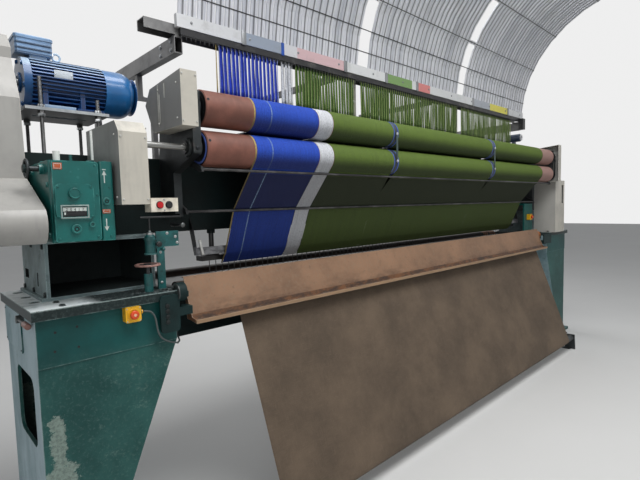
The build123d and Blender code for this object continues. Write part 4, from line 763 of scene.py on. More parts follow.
def beam_paint(name, colour, shaded_openings=()):
    """Old paint of beams and frames in the given colour, near black inside the given openings as painted
    shade.
    """
    r = Recipe(name)
    cloud = r.noise(3.0, 6.0, 0.66)
    fine = r.noise(38.0, 4.0, 0.65)
    base = r.layers(r.tones(colour, 0.6, 1.4, cloud.step(0.32, 0.7)),
                    (shade(colour, 0.3), r.noise(7.0, 6.0, 0.72).step(0.52, 0.7) * 0.7),
                    (shade(colour, 3.2), r.edges(0.006) * r.noise(20.0, 4.0).step(0.4, 0.62) * 0.7))
    # Painted shade: near black inside the openings
    for (near, far), y, z, soft in shaded_openings:
        sides = (r.zone(x=x, y=y, z=z, soft=soft) for x in ((-far, -near), (near, far)))
        base = r.mix(base, (0.004, 0.006, 0.006), either(sides))
    return r.finish(base, 0.5 + fine * 0.25, cloud + fine * 0.25, 0.0014, 0.35, specular_ior_level=0.25)


def sheet_paint(name, colour, side_colour):
    """Light sheet-metal paint: dusty, smudged towards its edges, with darker runs and its sides painted
    darker as shade.
    """
    r = Recipe(name)
    smudge = r.noise(3.4, 5.0, 0.65).step(0.42, 0.74)
    runs = r.noise(5.0, 4.0, 0.6, (3.0, 3.0, 0.35)).step(0.52, 0.8)
    # Painted shade: faces turned to the sides take the darker side colour
    base = r.layers(r.mix(colour, side_colour, r.normal()[0].size().step(0.5, 0.9)),
                    (shade(side_colour, 0.7), smudge * 0.45), (shade(side_colour, 0.5), runs * 0.35))
    base = r.mix(shade(side_colour, 0.5), base, r.cells(60.0).step(0.0, 0.11) * 0.25 + 0.75)
    base = r.mix(base, (0.72, 0.7, 0.62), r.edges(0.004) * 0.5)
    height = r.noise(2.2, 2.0) + r.noise(90.0, 2.0) * 0.04
    return r.finish(base, 0.42 + smudge * 0.2, height, 0.004, 0.25)


def motor_paint(name, colour, gloss=0.26):
    """Semi-gloss sprayed paint, lighter on what faces up from dust and a painted sheen."""
    r = Recipe(name)
    # Lighter on faces that face up: dust and a painted sheen
    dust_and_sheen = r.normal()[2].step(0.35, 1.0) * r.noise(11.0, 4.0).step(0.3, 0.8)
    cloud = r.noise(6.0, 4.0, 0.6)
    base = r.layers(r.tones(colour, 0.75, 1.2, cloud.step(0.3, 0.7)), ((0.3, 0.38, 0.48), dust_and_sheen * 0.4),
                    (shade(colour, 1.9), r.edges(0.003) * 0.45))
    return r.finish(base, gloss + dust_and_sheen * 0.3 + cloud * 0.08, r.noise(70.0, 2.0), 0.0006, coat_weight=0.25)


def finned_paint(name, colour):
    """Motor body: navy, painted darker between the fins as shade, painted glints on its edges, a painted
    sheen on top and its feet darkened as shade; the right end's motor is dark all over.
    """
    r = Recipe(name)
    axis_y, axis_z = MOTOR_AXIS
    radius = radius_of((r.y - place(0, axis_y, 0).y) * 1000.0, (r.z - axis_z / 1000) * 1000.0)
    cloud = r.noise(9.0, 4.0, 0.6)
    # Painted shade: the navy between the fins is darker than the fin tips
    deep = r.mix((0.004, 0.016, 0.085), shade(colour, 0.5), cloud.step(0.35, 0.7) * 0.6)
    finned = r.mix(deep, (0.03, 0.13, 0.38), (radius - 115.0).step(-3.0, 4.5))
    barrel = r.zone(x=(-2649, -2331), y=(470, 730), z=(2075, 2335))
    # Painted sheen on the top of the body
    top = (r.z - 2.262).step(0.0, 0.02) * (radius - 108.0).step(-3.0, 3.0)
    # The feet are painted dark as shade
    feet = r.zone(x=(-2649, -2331), y=(440, 500), z=(2040, 2225))
    # The edges are lightened as painted glints
    base = r.layers(
        r.mix(shade(colour, 0.7), finned, barrel), ((0.55, 0.68, 0.8), top * (0.5 + cloud * 0.5)),
        ((0.004, 0.016, 0.07), feet * 0.9), (shade(colour, 2.2), r.edges(0.003) * 0.5),
        ((0.008, 0.025, 0.07), r.right_of(0) * 0.92),
    )
    return r.finish(base, 0.3 + cloud * 0.15, r.noise(70.0, 2.0), 0.0006, coat_weight=0.2)


def lid_paint(name, colour):
    """Terminal box: pale blue-grey body and darker lid bands, its left end painted darker as shade and its
    top painted lighter as a highlight.
    """
    r = Recipe(name)
    nx, _, nz = r.normal()
    cloud = r.noise(9.0, 4.0, 0.6)
    bands = [((0.012, 0.04, 0.1), r.zone(z=span, soft=1.4) * 0.85) for span in LID_BANDS]
    # Painted shade on the left end and a painted highlight on the top
    base = r.layers(r.tones(colour, 0.85, 1.25, cloud.step(0.3, 0.7)), *bands,
                    ((0.02, 0.06, 0.13), (nx * -1.0).step(0.5, 0.9) * 0.75),
                    ((0.5, 0.62, 0.74), nz.step(0.5, 0.9) * 0.5), ((0.6, 0.7, 0.8), r.edges(0.003) * 0.5))
    return r.finish(base, 0.34 + cloud * 0.12, r.noise(60.0, 2.0), 0.0006, coat_weight=0.1)


def fitting_metal(name, colour, caps, pale=(0.8, 0.82, 0.78)):
    """Dark metal of small fittings, with the pale caps among them given by their spans in X, Y and Z."""
    r = Recipe(name)
    cloud = r.noise(30.0, 4.0, 0.6)
    white = either(r.zone(*spans) for spans in caps)
    base = r.layers(r.tones(colour, 0.7, 1.5, cloud.step(0.3, 0.7)), (pale, white),
                    ((0.3, 0.42, 0.4), r.edges(0.002) * 0.5))
    return r.finish(base, 0.36 + cloud * 0.15, cloud, 0.0006, metallic=(1.0 - white) * 0.4)


def oily_metal(name, colour, rough=0.38, grime=0.5):
    """Bare or blackened metal with oil and rust freckles."""
    r = Recipe(name)
    cloud = r.noise(7.0, 6.0, 0.66)
    brushed = r.noise(60.0, 2.0, 0.5, (0.08, 1.0, 1.0))
    rust = r.noise(15.0, 6.0, 0.7).step(0.58, 0.75)
    base = r.layers(r.tones(colour, 1.15, 0.4, cloud.step(0.4, 0.75) * grime),
                    ((0.13, 0.06, 0.03), rust * 0.35 * grime), (shade(colour, 1.7), r.edges(0.003) * 0.5))
    return r.finish(base, rough + cloud * 0.2, brushed * 0.5 + cloud, 0.0008, metallic=0.9 - rust * 0.6)


def plastic(name, colour, rough=0.38):
    """Moulded plastic with light scratches."""
    r = Recipe(name)
    cloud = r.noise(25.0, 4.0)
    base = r.mix(r.tones(colour, 0.82, 1.12, cloud.step(0.3, 0.7)), shade(colour, 0.35),
                 r.noise(60.0, 4.0, 0.7).step(0.6, 0.78) * 0.4)
    return r.finish(base, rough + cloud * 0.15, r.noise(220.0), 0.0003)


def rubber(name, colour):
    """Dull rubber."""
    r = Recipe(name)
    return r.finish(r.tones(colour, 0.8, 1.4, r.noise(40.0, 3.0)), 0.75, r.noise(300.0), 0.0004)


def feed_paint(name):
    """Cloth roller: dark oily brown, orange rust at its right end with a dark clamp band."""
    r = Recipe(name)
    cloud = r.noise(12.0, 6.0, 0.7)
    base = r.layers(r.mix((0.012, 0.007, 0.005), (0.045, 0.022, 0.014), cloud.step(0.35, 0.7)),
                    (r.mix((0.3, 0.11, 0.04), (0.55, 0.23, 0.09), cloud.step(0.3, 0.7)), r.right_of(1890)),
                    ((0.02, 0.016, 0.014), r.zone(x=(2018, 2042))))
    return r.finish(base, 0.5 + cloud * 0.2, cloud, 0.0008)


def hanger_paint(name, colour):
    """Roller hanger: grimy below, its strap up to the header pale."""
    r = Recipe(name)
    cloud = r.noise(9.0, 6.0, 0.7)
    pale = r.mix((0.22, 0.22, 0.2), (0.42, 0.41, 0.37), cloud.step(0.32, 0.66))
    base = r.mix(r.tones(colour, 0.5, 1.4, cloud.step(0.35, 0.7)), pale, (r.z - 2.15).step(0.0, 0.02))
    return r.finish(base, 0.45 + cloud * 0.2, cloud, 0.0008)


def plate_metal(name):
    """Motor base plate: light worn edges, its underside painted near black as shade."""
    r = Recipe(name)
    cloud = r.noise(12.0, 5.0, 0.66)
    # Painted shade: faces that face down are near black
    base = r.mix(r.mix((0.3, 0.32, 0.34), (0.5, 0.52, 0.53), cloud.step(0.3, 0.7)), (0.003, 0.004, 0.006),
                 (r.normal()[2] * -1.0).step(0.3, 0.8) * 0.97)
    return r.finish(base, 0.38 + cloud * 0.15, cloud, 0.0008)


def rod_paint(name, colour):
    """Lubricator, its post and flag in teal with the dark rods above them."""
    r = Recipe(name)
    cloud = r.noise(16.0, 5.0, 0.66)
    base = r.layers(r.tones(colour, 0.6, 1.35, cloud.step(0.3, 0.7)),
                    (shade(colour, 0.2), r.noise(22.0, 6.0, 0.72).step(0.54, 0.7) * 0.7),
                    ((0.16, 0.3, 0.3), r.edges(0.003) * r.noise(30.0).step(0.4, 0.6) * 0.6),
                    ((0.014, 0.016, 0.017), r.zone(z=(1498, 1700))))
    return r.finish(base, 0.36 + cloud * 0.15, cloud, 0.001)


def wheel_paint(name, colour):
    """Horizontal hand wheel: worn pinkish rim, dark hub and spindle."""
    r = Recipe(name)
    hub = place(*WHEEL_AXIS, 0.0)
    radius = radius_of((r.x - hub.x) * 1000.0, (r.y - hub.y) * 1000.0)
    cloud = r.noise(30.0, 5.0, 0.66)
    base = r.mix((0.02, 0.022, 0.024), r.tones(colour, 0.6, 1.3, cloud.step(0.3, 0.7)),
                 (radius - WHEEL_RIM).step(-1.0, 1.0))
    return r.finish(base, 0.4 + cloud * 0.2, cloud, 0.0006)


def guide_metal(name):
    """Dark arms, thin rods and the scratched guide strip above the needles."""
    r = Recipe(name)
    cloud = r.noise(12.0, 6.0, 0.7, (0.4, 1.0, 1.0))
    strip = r.zone(x=(-2012, 1964), y=(236, 266), z=(1345, 1395))
    rods = r.zone(x=(-2104, 2104), z=(1560, 2200))
    base = r.layers(r.mix((0.012, 0.013, 0.014), (0.03, 0.032, 0.034), cloud),
                    (r.mix((0.09, 0.09, 0.1), (0.32, 0.33, 0.34), cloud.step(0.45, 0.7)), strip),
                    (r.mix((0.035, 0.035, 0.037), (0.15, 0.15, 0.15), cloud.step(0.4, 0.7)), rods))
    return r.finish(base, 0.36 + cloud * 0.2, cloud, 0.0008, metallic=0.55)


def roller_cover(name, colour, axis_z):
    """Brown roller covering, rubbed lighter in bands, with a dark steel core at its ends and necks."""
    r = Recipe(name)
    bands = r.noise(5.0, 5.0, 0.6, (9.0, 0.6, 0.6))
    cloud = r.noise(9.0, 4.0, 0.6)
    weave = (r.x * 1900.0).wave() * 0.5 + 0.5
    radius = radius_of(r.y - MIDDLE.y, r.z - axis_z)
    core = (ROLLER_RADIUS - COVER_THICKNESS - radius).step(-0.0008, 0.0008)
    steel = r.mix((0.03, 0.032, 0.034), (0.008, 0.008, 0.009), r.noise(18.0, 5.0).step(0.35, 0.7))
    steel = r.mix(steel, (0.3, 0.3, 0.29), (JOURNAL_RADIUS - radius).step(-0.0008, 0.0008))
    base = r.layers(r.tones(colour, 0.72, 1.22, cloud.step(0.3, 0.72)),
                    (shade(colour, 1.5), bands.step(0.56, 0.8) * 0.4),
                    ((0.36, 0.22, 0.19), r.right_of(1790) * 0.8), (steel, core))
    return r.finish(base, 0.62 - core * 0.3, weave * 0.3 + cloud, 0.0005, 0.35, metallic=core * 0.6)


def yarn(name, colour, deep, shade_share, streak=None):
    """Carpet yarn lying side by side, with painted shade by the given share where it runs free or faces down
    under a roller.
    """
    r = Recipe(name)
    ends = r.grain(420.0, 1.5, 2.0)
    slow = r.grain(38.0, 2.6, 3.0)
    fibre = r.grain(820.0, 190.0, 3.0, 0.7)
    speck = r.grain(260.0, 120.0, 2.0)
    across, along, _ = r.split(r.lay())
    twist = (across * 2400.0 + along * 900.0).wave()
    # Painted shade: below the first rod the yarn is darkened, somewhat less below the second rod
    under = (FREE_TOP - r.z).step(-0.01, 0.012)
    below = (FREE_FOOT - r.z).step(-0.006, 0.006)
    base = r.layers(
        r.tones(colour, 0.72, 1.0, ends.step(0.3, 0.6)), (shade(colour, 1.6), fibre.step(0.5, 0.75) * 0.5),
        (shade(deep, 0.7), speck.step(0.5, 0.68) * 0.7), (shade(deep, 0.9), slow.step(0.52, 0.78) * 0.25),
        (shade(deep, 0.1), under * (1.0 - below * 0.4) * shade_share),
    )
    if streak:
        tone, low, high = streak
        thin = (across - low).step(-0.002, 0.002) * (high - across).step(-0.002, 0.002)
        base = r.mix(base, tone, thin * speck.step(0.38, 0.5))
    # Painted shade: on the rollers the yarn is darkened where it faces down
    facing_down_shade = (0.12 - r.normal()[2]).step(0.0, 0.85)
    facing_down_shade = facing_down_shade * (r.z - ROLLERS_FOOT).step(0.0, 0.01) * (ROLLERS_TOP - r.z).step(0.0, 0.01)
    base = r.mix(base, shade(deep, 0.22), facing_down_shade * shade_share * 0.85)
    height = ends * 0.7 + fibre * 0.5 + twist * 0.15 + speck * 0.4
    return r.finish(base, 0.8, height, 0.0024, 0.7)


def apron_sheet(name, colour):
    """Brown apron sheet: dusty bloom, stains and rust along the ledge, faces inside the trough painted near
    black as shade, a painted highlight on the lip, and edges lightened by rubbing and by a painted highlight.
    """
    r = Recipe(name)
    cloud = r.noise(2.6, 6.0, 0.66)
    fine = r.noise(60.0, 5.0, 0.7)
    stain = (1.2 - r.z).step(0.0, 0.11) * r.noise(7.0, 6.0, 0.72, (0.5, 1.0, 1.6)).step(0.42, 0.68)
    patches = r.noise(16.0, 6.0, 0.74, (0.5, 1.0, 1.0)).step(0.4, 0.62)
    base = r.layers(
        r.tones(colour, 0.72, 1.2, cloud.step(0.3, 0.7)),
        ((0.24, 0.175, 0.115), fine.step(0.46, 0.72) * 0.5),
        (shade(colour, 0.28), r.noise(26.0, 5.0, 0.7).step(0.58, 0.68) * 0.3),
        ((0.05, 0.024, 0.012), stain * 0.6),
        (r.mix((0.03, 0.014, 0.008), (0.16, 0.065, 0.022), patches),
         r.zone(y=(-38, 40), z=(1060, 1102), soft=3.0) * 0.92),
        # Painted highlight on the lip
        ((0.4, 0.26, 0.15), r.zone(y=(-60, -36), z=(1050, 1110)) * 0.6),
        # Painted shade: faces that face back, inside the trough, are near black
        ((0.02, 0.012, 0.008), r.normal()[1].step(0.3, 0.7) * 0.9),
        # Edges lightened as rubbed wear and as a painted highlight
        ((0.5, 0.42, 0.33), r.edges(0.003) * r.noise(14.0, 4.0).step(0.3, 0.62) * 0.8),
    )
    return r.finish(base, 0.55 + cloud * 0.15, cloud + fine * 0.15, 0.002)


def backing(name, colour):
    """Plain-woven backing: crossing tapes with dusty tone changes."""
    r = Recipe(name)
    across, along, _ = r.split(r.lay())
    weave = (across * 2600.0).wave() * (along * 2600.0).wave()
    tapes = r.grain(260.0, 16.0, 3.0).larger(r.grain(18.0, 240.0, 3.0))
    base = r.layers(r.tones(colour, 0.72, 1.35, r.grain(2.4, 2.4, 6.0, 0.66).step(0.3, 0.72)),
                    (shade(colour, 1.7), tapes.step(0.5, 0.8) * 0.5),
                    (shade(colour, 0.5), weave.step(0.1, 0.9) * 0.3))
    return r.finish(base, 0.88, weave + tapes, 0.0008, 0.45)


def tube_bank(name):
    """Milky yarn tubes bundled in flat strips, painted darker as shade where tubes meet, thin dark seams
    between the strips, dark ribs and wires across.
    """
    r = Recipe(name)
    angle = (r.z - ARCH_Z).bearing(r.y - place(0, ARCH_Y, 0).y)
    strip = ((r.x - place(TUBES_START, 0, 0).x) * (1000.0 / TUBES_PITCH)).fraction()
    tubes = (strip * STRIP_WAVES).wave()
    ribs = ((0.0029 - (angle - math.radians(degrees)).size()).step(-0.0003, 0.0003) for degrees in TUBE_RIBS)
    base = r.layers(
        r.mix((0.62, 0.64, 0.7), (0.88, 0.89, 0.94), r.noise(1.0, 3.0, 0.6, (19.0, 1.2, 1.2)).step(0.3, 0.6)),
        # Painted shade where neighbouring tubes meet
        ((0.45, 0.46, 0.5), (tubes * -1.0).step(0.45, 0.95) * 0.3),
        ((0.1, 0.102, 0.11), (strip - 0.5).size().step(0.36, 0.44) * 0.8),
        ((0.42, 0.41, 0.38), r.noise(5.0, 4.0, 0.6).step(0.5, 0.8) * 0.3),
        ((0.03, 0.032, 0.034), either(ribs)),
    )
    return r.finish(base, 0.42, tubes, 0.003, 0.4, coat_weight=0.1)


def label_board(name):
    """Header board: white with plain painted fields of colour along its front, black below."""
    r = Recipe(name)
    front = (r.normal()[1] * -1.0).step(0.4, 0.8)
    fields = [(tone, r.zone(x=(start, end), soft=2.0) * front) for start, end, tone in LABELS]
    base = r.layers((0.74, 0.75, 0.76), *fields,
                    ((0.012, 0.012, 0.014), r.zone(z=(2000, 2506.5), soft=0.4)),
                    ((0.25, 0.24, 0.22), r.noise(12.0, 5.0, 0.65).step(0.5, 0.75) * 0.3))
    return r.finish(base, 0.5, r.noise(40.0), 0.0006)


class TUFTING_OT_paint(bpy.types.Operator):
    """Give every piece of the machine its paint, metal or plastic"""

    bl_idname = "tufting.paint"
    bl_label = "Paint the machine"

    def execute(self, context):
        guard, cover = colour_of("guard"), colour_of("cover")
        coats = (
            (cast_paint("teal_paint", colour_of("teal"), (0.1, 0.32, 0.3), 0.3, 0.24),
             "gearbox_housing", "gearbox_cover", "right_end_panel"),
            (leg_paint("leg_paint", (0.002, 0.066, 0.063), colour_of("worn")), "left_leg", "right_leg"),
            # The head and bed beams are given near-black colours, which are painted shade
            (beam_paint("head_beam_paint", (0.002, 0.008, 0.008)), "head_beam"),
            (beam_paint("bed_beam_paint", (0.002, 0.01, 0.01)), "bed_beam"),
            (beam_paint("end_frame_paint", (0.17, 0.22, 0.225), FRAME_BAYS),
             "left_end_frame", "right_end_frame"),
            (beam_paint("bracket_teal", (0.004, 0.016, 0.016)), "apron_brackets"),
            (hanger_paint("hanger_paint", (0.05, 0.06, 0.062)), "roller_hangers"),
            (oily_metal("dark_iron", colour_of("iron"), 0.42, 0.7),
             "left_roller_bracket", "right_roller_bracket", "feed_bearings", "main_shaft", "roller_chains",
             "floor_bar", "gearbox_handwheel", "looper_shaft"),
            (oily_metal("header_frame_steel", (0.17, 0.17, 0.17), 0.4, 0.6),
             "header_frames", "header_channel"),
            (guide_metal("guide_steel"), "yarn_guides"),
            (oily_metal("machined_steel", colour_of("steel"), 0.32, 0.6), "motor_shaft", "output_shaft"),
            (oily_metal("needle_steel", (0.06, 0.06, 0.06), 0.4, 0.6), "bed_plate", "needle_bar"),
            (plate_metal("motor_plate_steel"), "motor_base_plate"),
            (oily_metal("stud_rod", (0.13, 0.13, 0.13), 0.42, 0.6), "motor_studs"),
            (sheet_paint("guard_paint", guard, (0.27, 0.27, 0.26)), "left_upper_guard", "left_lower_guard"),
            (sheet_paint("right_guard_paint", shade(guard, 0.95), (0.4, 0.395, 0.37)),
             "right_upper_guard", "right_box_guard"),
            (sheet_paint("belt_guard_paint", (0.36, 0.35, 0.33), (0.3, 0.298, 0.285)), "belt_guard"),
            (finned_paint("motor_body_paint", colour_of("motor")), "motor_body"),
            (motor_paint("fan_cover_paint", (0.018, 0.15, 0.4)), "motor_fan_cover"),
            (lid_paint("terminal_box_paint", colour_of("lid")), "motor_terminal_box"),
            (fitting_metal("fitting_metal", (0.012, 0.07, 0.066), GEARBOX_CAPS), "gearbox_fittings"),
            (roller_cover("upper_roller_cover", cover, UPPER_Z), "upper_roller"),
            (roller_cover("lower_roller_cover", cover, LOWER_Z), "lower_roller"),
            (feed_paint("feed_roller_rust"), "front_feed_roller", "rear_feed_roller"),
            (apron_sheet("apron_sheet", colour_of("apron")), "apron"),
            (tube_bank("yarn_tube_plastic"), "yarn_tubes"),
            (label_board("header_labels"), "header_board"),
            (plastic("cream_box", (0.78, 0.72, 0.6), 0.4), "button_box"),
            (plastic("yellow_box", (0.85, 0.46, 0.015), 0.3), "stop_stations"),
            (plastic("red_button", (0.5, 0.01, 0.012), 0.25), "stop_button"),
            (plastic("mushroom_red", (0.72, 0.07, 0.015), 0.25), "left_stop_button", "right_stop_button"),
            (plastic("black_plastic", (0.012, 0.012, 0.013), 0.35), "start_button", "stitch_counter"),
            (fitting_metal("lever_metal", (0.05, 0.055, 0.055), LEVER_GRIP, (0.22, 0.11, 0.09)), "leg_lever"),
            (rubber("belt_rubber", (0.015, 0.015, 0.016)), "drive_belts"),
            (rod_paint("lubricator_paint", (0.012, 0.1, 0.1)), "lubricator"),
            (wheel_paint("wheel_rim", (0.36, 0.2, 0.17)), "bed_handwheel"),
        )
        for material, *nodes in coats:
            for node in nodes:
                mesh = NODES[node].data
                mesh.materials.clear()
                mesh.materials.append(material)
        return {"FINISHED"}


def gathered(x, z):
    """Place along the machine of a yarn that closes up behind a hanger on its way to the needles."""
    share = min(1.0, max(0.0, (GATHER_TOP - z) / GATHER_FALL))
    for hanger in HANGERS:
        away = x - hanger
        if abs(away) < GATHER_REACH:
            fade = 1.0 - (abs(away) - HANGER_GAP) / (GATHER_REACH - HANGER_GAP)
            return x - math.copysign((HANGER_GAP - 0.2) * share * fade, away)
    return x


def yarn_sheet(name, span, pitch, seed):
    """Yarns side by side round the rollers and rods: each is a ridge with its own depth and slight wander."""
    chance = random.Random(seed)
    points = path_points(YARN_STATIONS, *YARN_STEPS)
    lengths = path_lengths(points)
    count = max(1, round((span[1] - span[0]) / pitch))
    step = (span[1] - span[0]) / count
    depth = [chance.uniform(-0.25, 0.25) for _ in range(count)]
    wander = [(chance.uniform(0, FULL_TURN), chance.uniform(0.0, 0.28) * step) for _ in range(count)]

    def spot(row, column):
        y, z, angle = points[row]
        index = min(column // 2, count - 1)
        out = (RIDGE_CREST if column % 2 else RIDGE_VALLEY) + depth[index]
        phase, reach = wander[index]
        side = reach * math.sin(phase + lengths[row] / WANDER_LENGTH) if 0 < column < 2 * count else 0.0
        x = gathered(span[0] + step * column / 2 + side, z)
        point = place(x, y + out * math.sin(angle), z - out * math.cos(angle))
        return point, ((x - span[0]) / 1000 + seed, lengths[row] / 1000)

    return woven_mesh(name, len(points), 2 * count + 1, spot)


def strand_row(name, span, width, seed, row):
    """Yarn ends from the comb down to the top bar: one row of flat, slightly turning bundles."""
    _, _, back, offset, most_turn, top_width, growth = row
    chance = random.Random(seed)
    count = max(1, round((span[1] - span[0]) / STRAND_PITCH))
    pitch = (span[1] - span[0]) / count
    sides = STRAND_SIDES
    vertices, faces, measures = [], [], []
    for index in range(count - int(offset)):
        middle = span[0] + (index + offset) * pitch
        lean = chance.uniform(-2.0, 2.0)
        turn = chance.uniform(-most_turn, most_turn)
        wide = width * chance.uniform(0.75, 1.1)
        first = len(vertices)
        for ring in range(STRAND_RINGS):
            part = ring / (STRAND_RINGS - 1)
            z = STRAND_TOP - (STRAND_TOP - STRAND_FOOT) * part
            spread = (top_width + growth * part) * wide / 2
            roll = turn * math.sin(part * 5.0 + turn)
            sway = lean * math.sin(part * math.pi)
            for corner in range(sides):
                angle = corner * 2 * math.pi / sides
                flat = STRAND_FLAT * math.sin(angle)
                x = middle + sway + spread * math.cos(angle) * math.cos(roll) - flat * math.sin(roll)
                y = STRAND_Y + back * (1 - 0.35 * part) + spread * math.cos(angle) * math.sin(roll) + flat
                vertices.append(place(x, y, z))
                measures.append((corner * 0.004 + index * 0.03 + seed, z / 1000))
        for ring, corner in itertools.product(range(STRAND_RINGS - 1), range(sides)):
            low = first + ring * sides
            after = (corner + 1) % sides
            faces.append((low + corner, low + sides + corner, low + sides + after, low + after))
        faces.append(tuple(range(first, first + sides)))
        faces.append(tuple(reversed(range(len(vertices) - sides, len(vertices)))))
    return laid_mesh(name, vertices, faces, measures)


class TUFTING_OT_yarn(bpy.types.Operator):
    """Lay the blue, white and green yarn from the header over the rollers to the needles"""

    bl_idname = "tufting.yarn"
    bl_label = "Yarn"

    def execute(self, context):
        beige = colour_of("beige")
        # The number after each yarn's colours is its share of painted shade
        sheets = {
            "edge": yarn("edge_yarn", beige, shade(beige, 0.45), 0.8),
            "blue": yarn("blue_yarn", colour_of("blue"), (0.003, 0.022, 0.27), 0.93, YARN_STREAK),
            "white": yarn("white_yarn", colour_of("white"), (0.3, 0.32, 0.36), 0.45),
            "green": yarn("green_yarn", colour_of("green"), (0.03, 0.062, 0.005), 0.93),
        }
        # The front row of ends is given paler copies of the yarns' colours, a painted highlight
        front = {
            "edge": sheets["edge"],
            "blue": yarn("lavender_ends", (0.36, 0.42, 0.78), (0.2, 0.27, 0.66), 0.0),
            "white": yarn("white_ends", (0.8, 0.82, 0.86), (0.5, 0.52, 0.56), 0.0),
            "green": yarn("pale_green_ends", (0.3, 0.37, 0.14), (0.15, 0.21, 0.06), 0.0),
        }
        back = {
            "blue": yarn("deep_blue_ends", (0.008, 0.04, 0.5), (0.003, 0.015, 0.26), 0.0),
            "white": sheets["white"],
            "green": yarn("deep_green_ends", (0.06, 0.14, 0.015), (0.025, 0.06, 0.006), 0.0),
        }
        stands_for = {"blue": "blue_yarn", "white": "white_yarn", "green": "green_yarn"}
        slots = {"blue": "yarn_blue", "white": "yarn_white", "green": "yarn_green", "edge": "yarn_white"}
        for index, (key, span) in enumerate(YARN_BANDS):
            name = f"{key}_yarn_sheet_{index}"
            sheet = yarn_sheet(name, span, size_of("yarn_pitch"), index + 1)
            piece = new_piece(name, sheet, sheets[key], slots[key])
            if key in stands_for:
                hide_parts(stands_for[key])
            for row, finishes in zip(STRAND_ROWS, (front, back)):
                if key in finishes:
                    name = f"{key}_{row[0]}_ends_{index}"
                    ends = strand_row(name, span, size_of("strand_width") * row[1], index + 11, row)
                    new_piece(name, ends, finishes[key], slots[key])
        return {"FINISHED"}


class TUFTING_OT_cloth(bpy.types.Operator):
    """Lay the backing cloth from the floor bar over the feed roller to the needles"""

    bl_idname = "tufting.cloth"
    bl_label = "Backing cloth"

    def execute(self, context):
        chance = random.Random(5)
        points = [CLOTH_START] + path_points(CLOTH_STATIONS, *CLOTH_STEPS)
        lengths = path_lengths(points)
        waves = [(chance.uniform(0.6, 2.6), chance.uniform(0, FULL_TURN), chance.uniform(0.4, 1.0))
                 for _ in range(6)]

        def spot(row, column):
            y, z, angle = points[row]
            x = -CLOTH_HALF + 2 * CLOTH_HALF * (column / (CLOTH_COLUMNS - 1))
            past_roller = min(1.0, max(0.0, (lengths[row] - 260.0) / 200.0))
            over_bar = min(1.0, max(0.0, (z - 190.0) / 200.0))
            slack = sum(reach * math.sin(rate * x / 420.0 + phase) for rate, phase, reach in waves)
            out = past_roller * over_bar * slack * 1.6
            point = place(x, y + out * math.sin(angle), z - out * math.cos(angle))
            return point, ((x + CLOTH_HALF) / 1000, lengths[row] / 1000)

        mesh = woven_mesh("backing_cloth_sheet", len(points), CLOTH_COLUMNS, spot)
        weave = backing("backing_weave", colour_of("cloth"))
        piece = new_piece("backing_cloth_sheet", mesh, weave, "brown_cloth")
        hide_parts("backing_cloth")
        return {"FINISHED"}


class TUFTING_OT_cable(bpy.types.Operator):
    """Hang the grey cable from the yellow stop box to the bed"""

    bl_idname = "tufting.cable"
    bl_label = "Stop cable"

    def execute(self, context):
        curve = bpy.data.curves.new("stop_cable_cord", "CURVE")
        curve.dimensions = "3D"
        curve.resolution_u = 12
        curve.bevel_depth = CABLE_RADIUS
        curve.bevel_resolution = 4
        curve.use_fill_caps = True
        spline = curve.splines.new("NURBS")
        spline.points.add(len(CABLE_ROUTE) - 1)
        for point, spot in zip(spline.points, CABLE_ROUTE):
            point.co = (*place(*spot), 1.0)
        spline.order_u = 3
        spline.use_endpoint_u = True
        cable = bpy.data.objects.new("stop_cable_cord", curve)
        context.scene.collection.objects.link(cable)
        curve.materials.append(rubber("cable_sheath", (0.07, 0.085, 0.085)))
        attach(cable, FRAME_BODY)
        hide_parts("stop_cable")
        return {"FINISHED"}


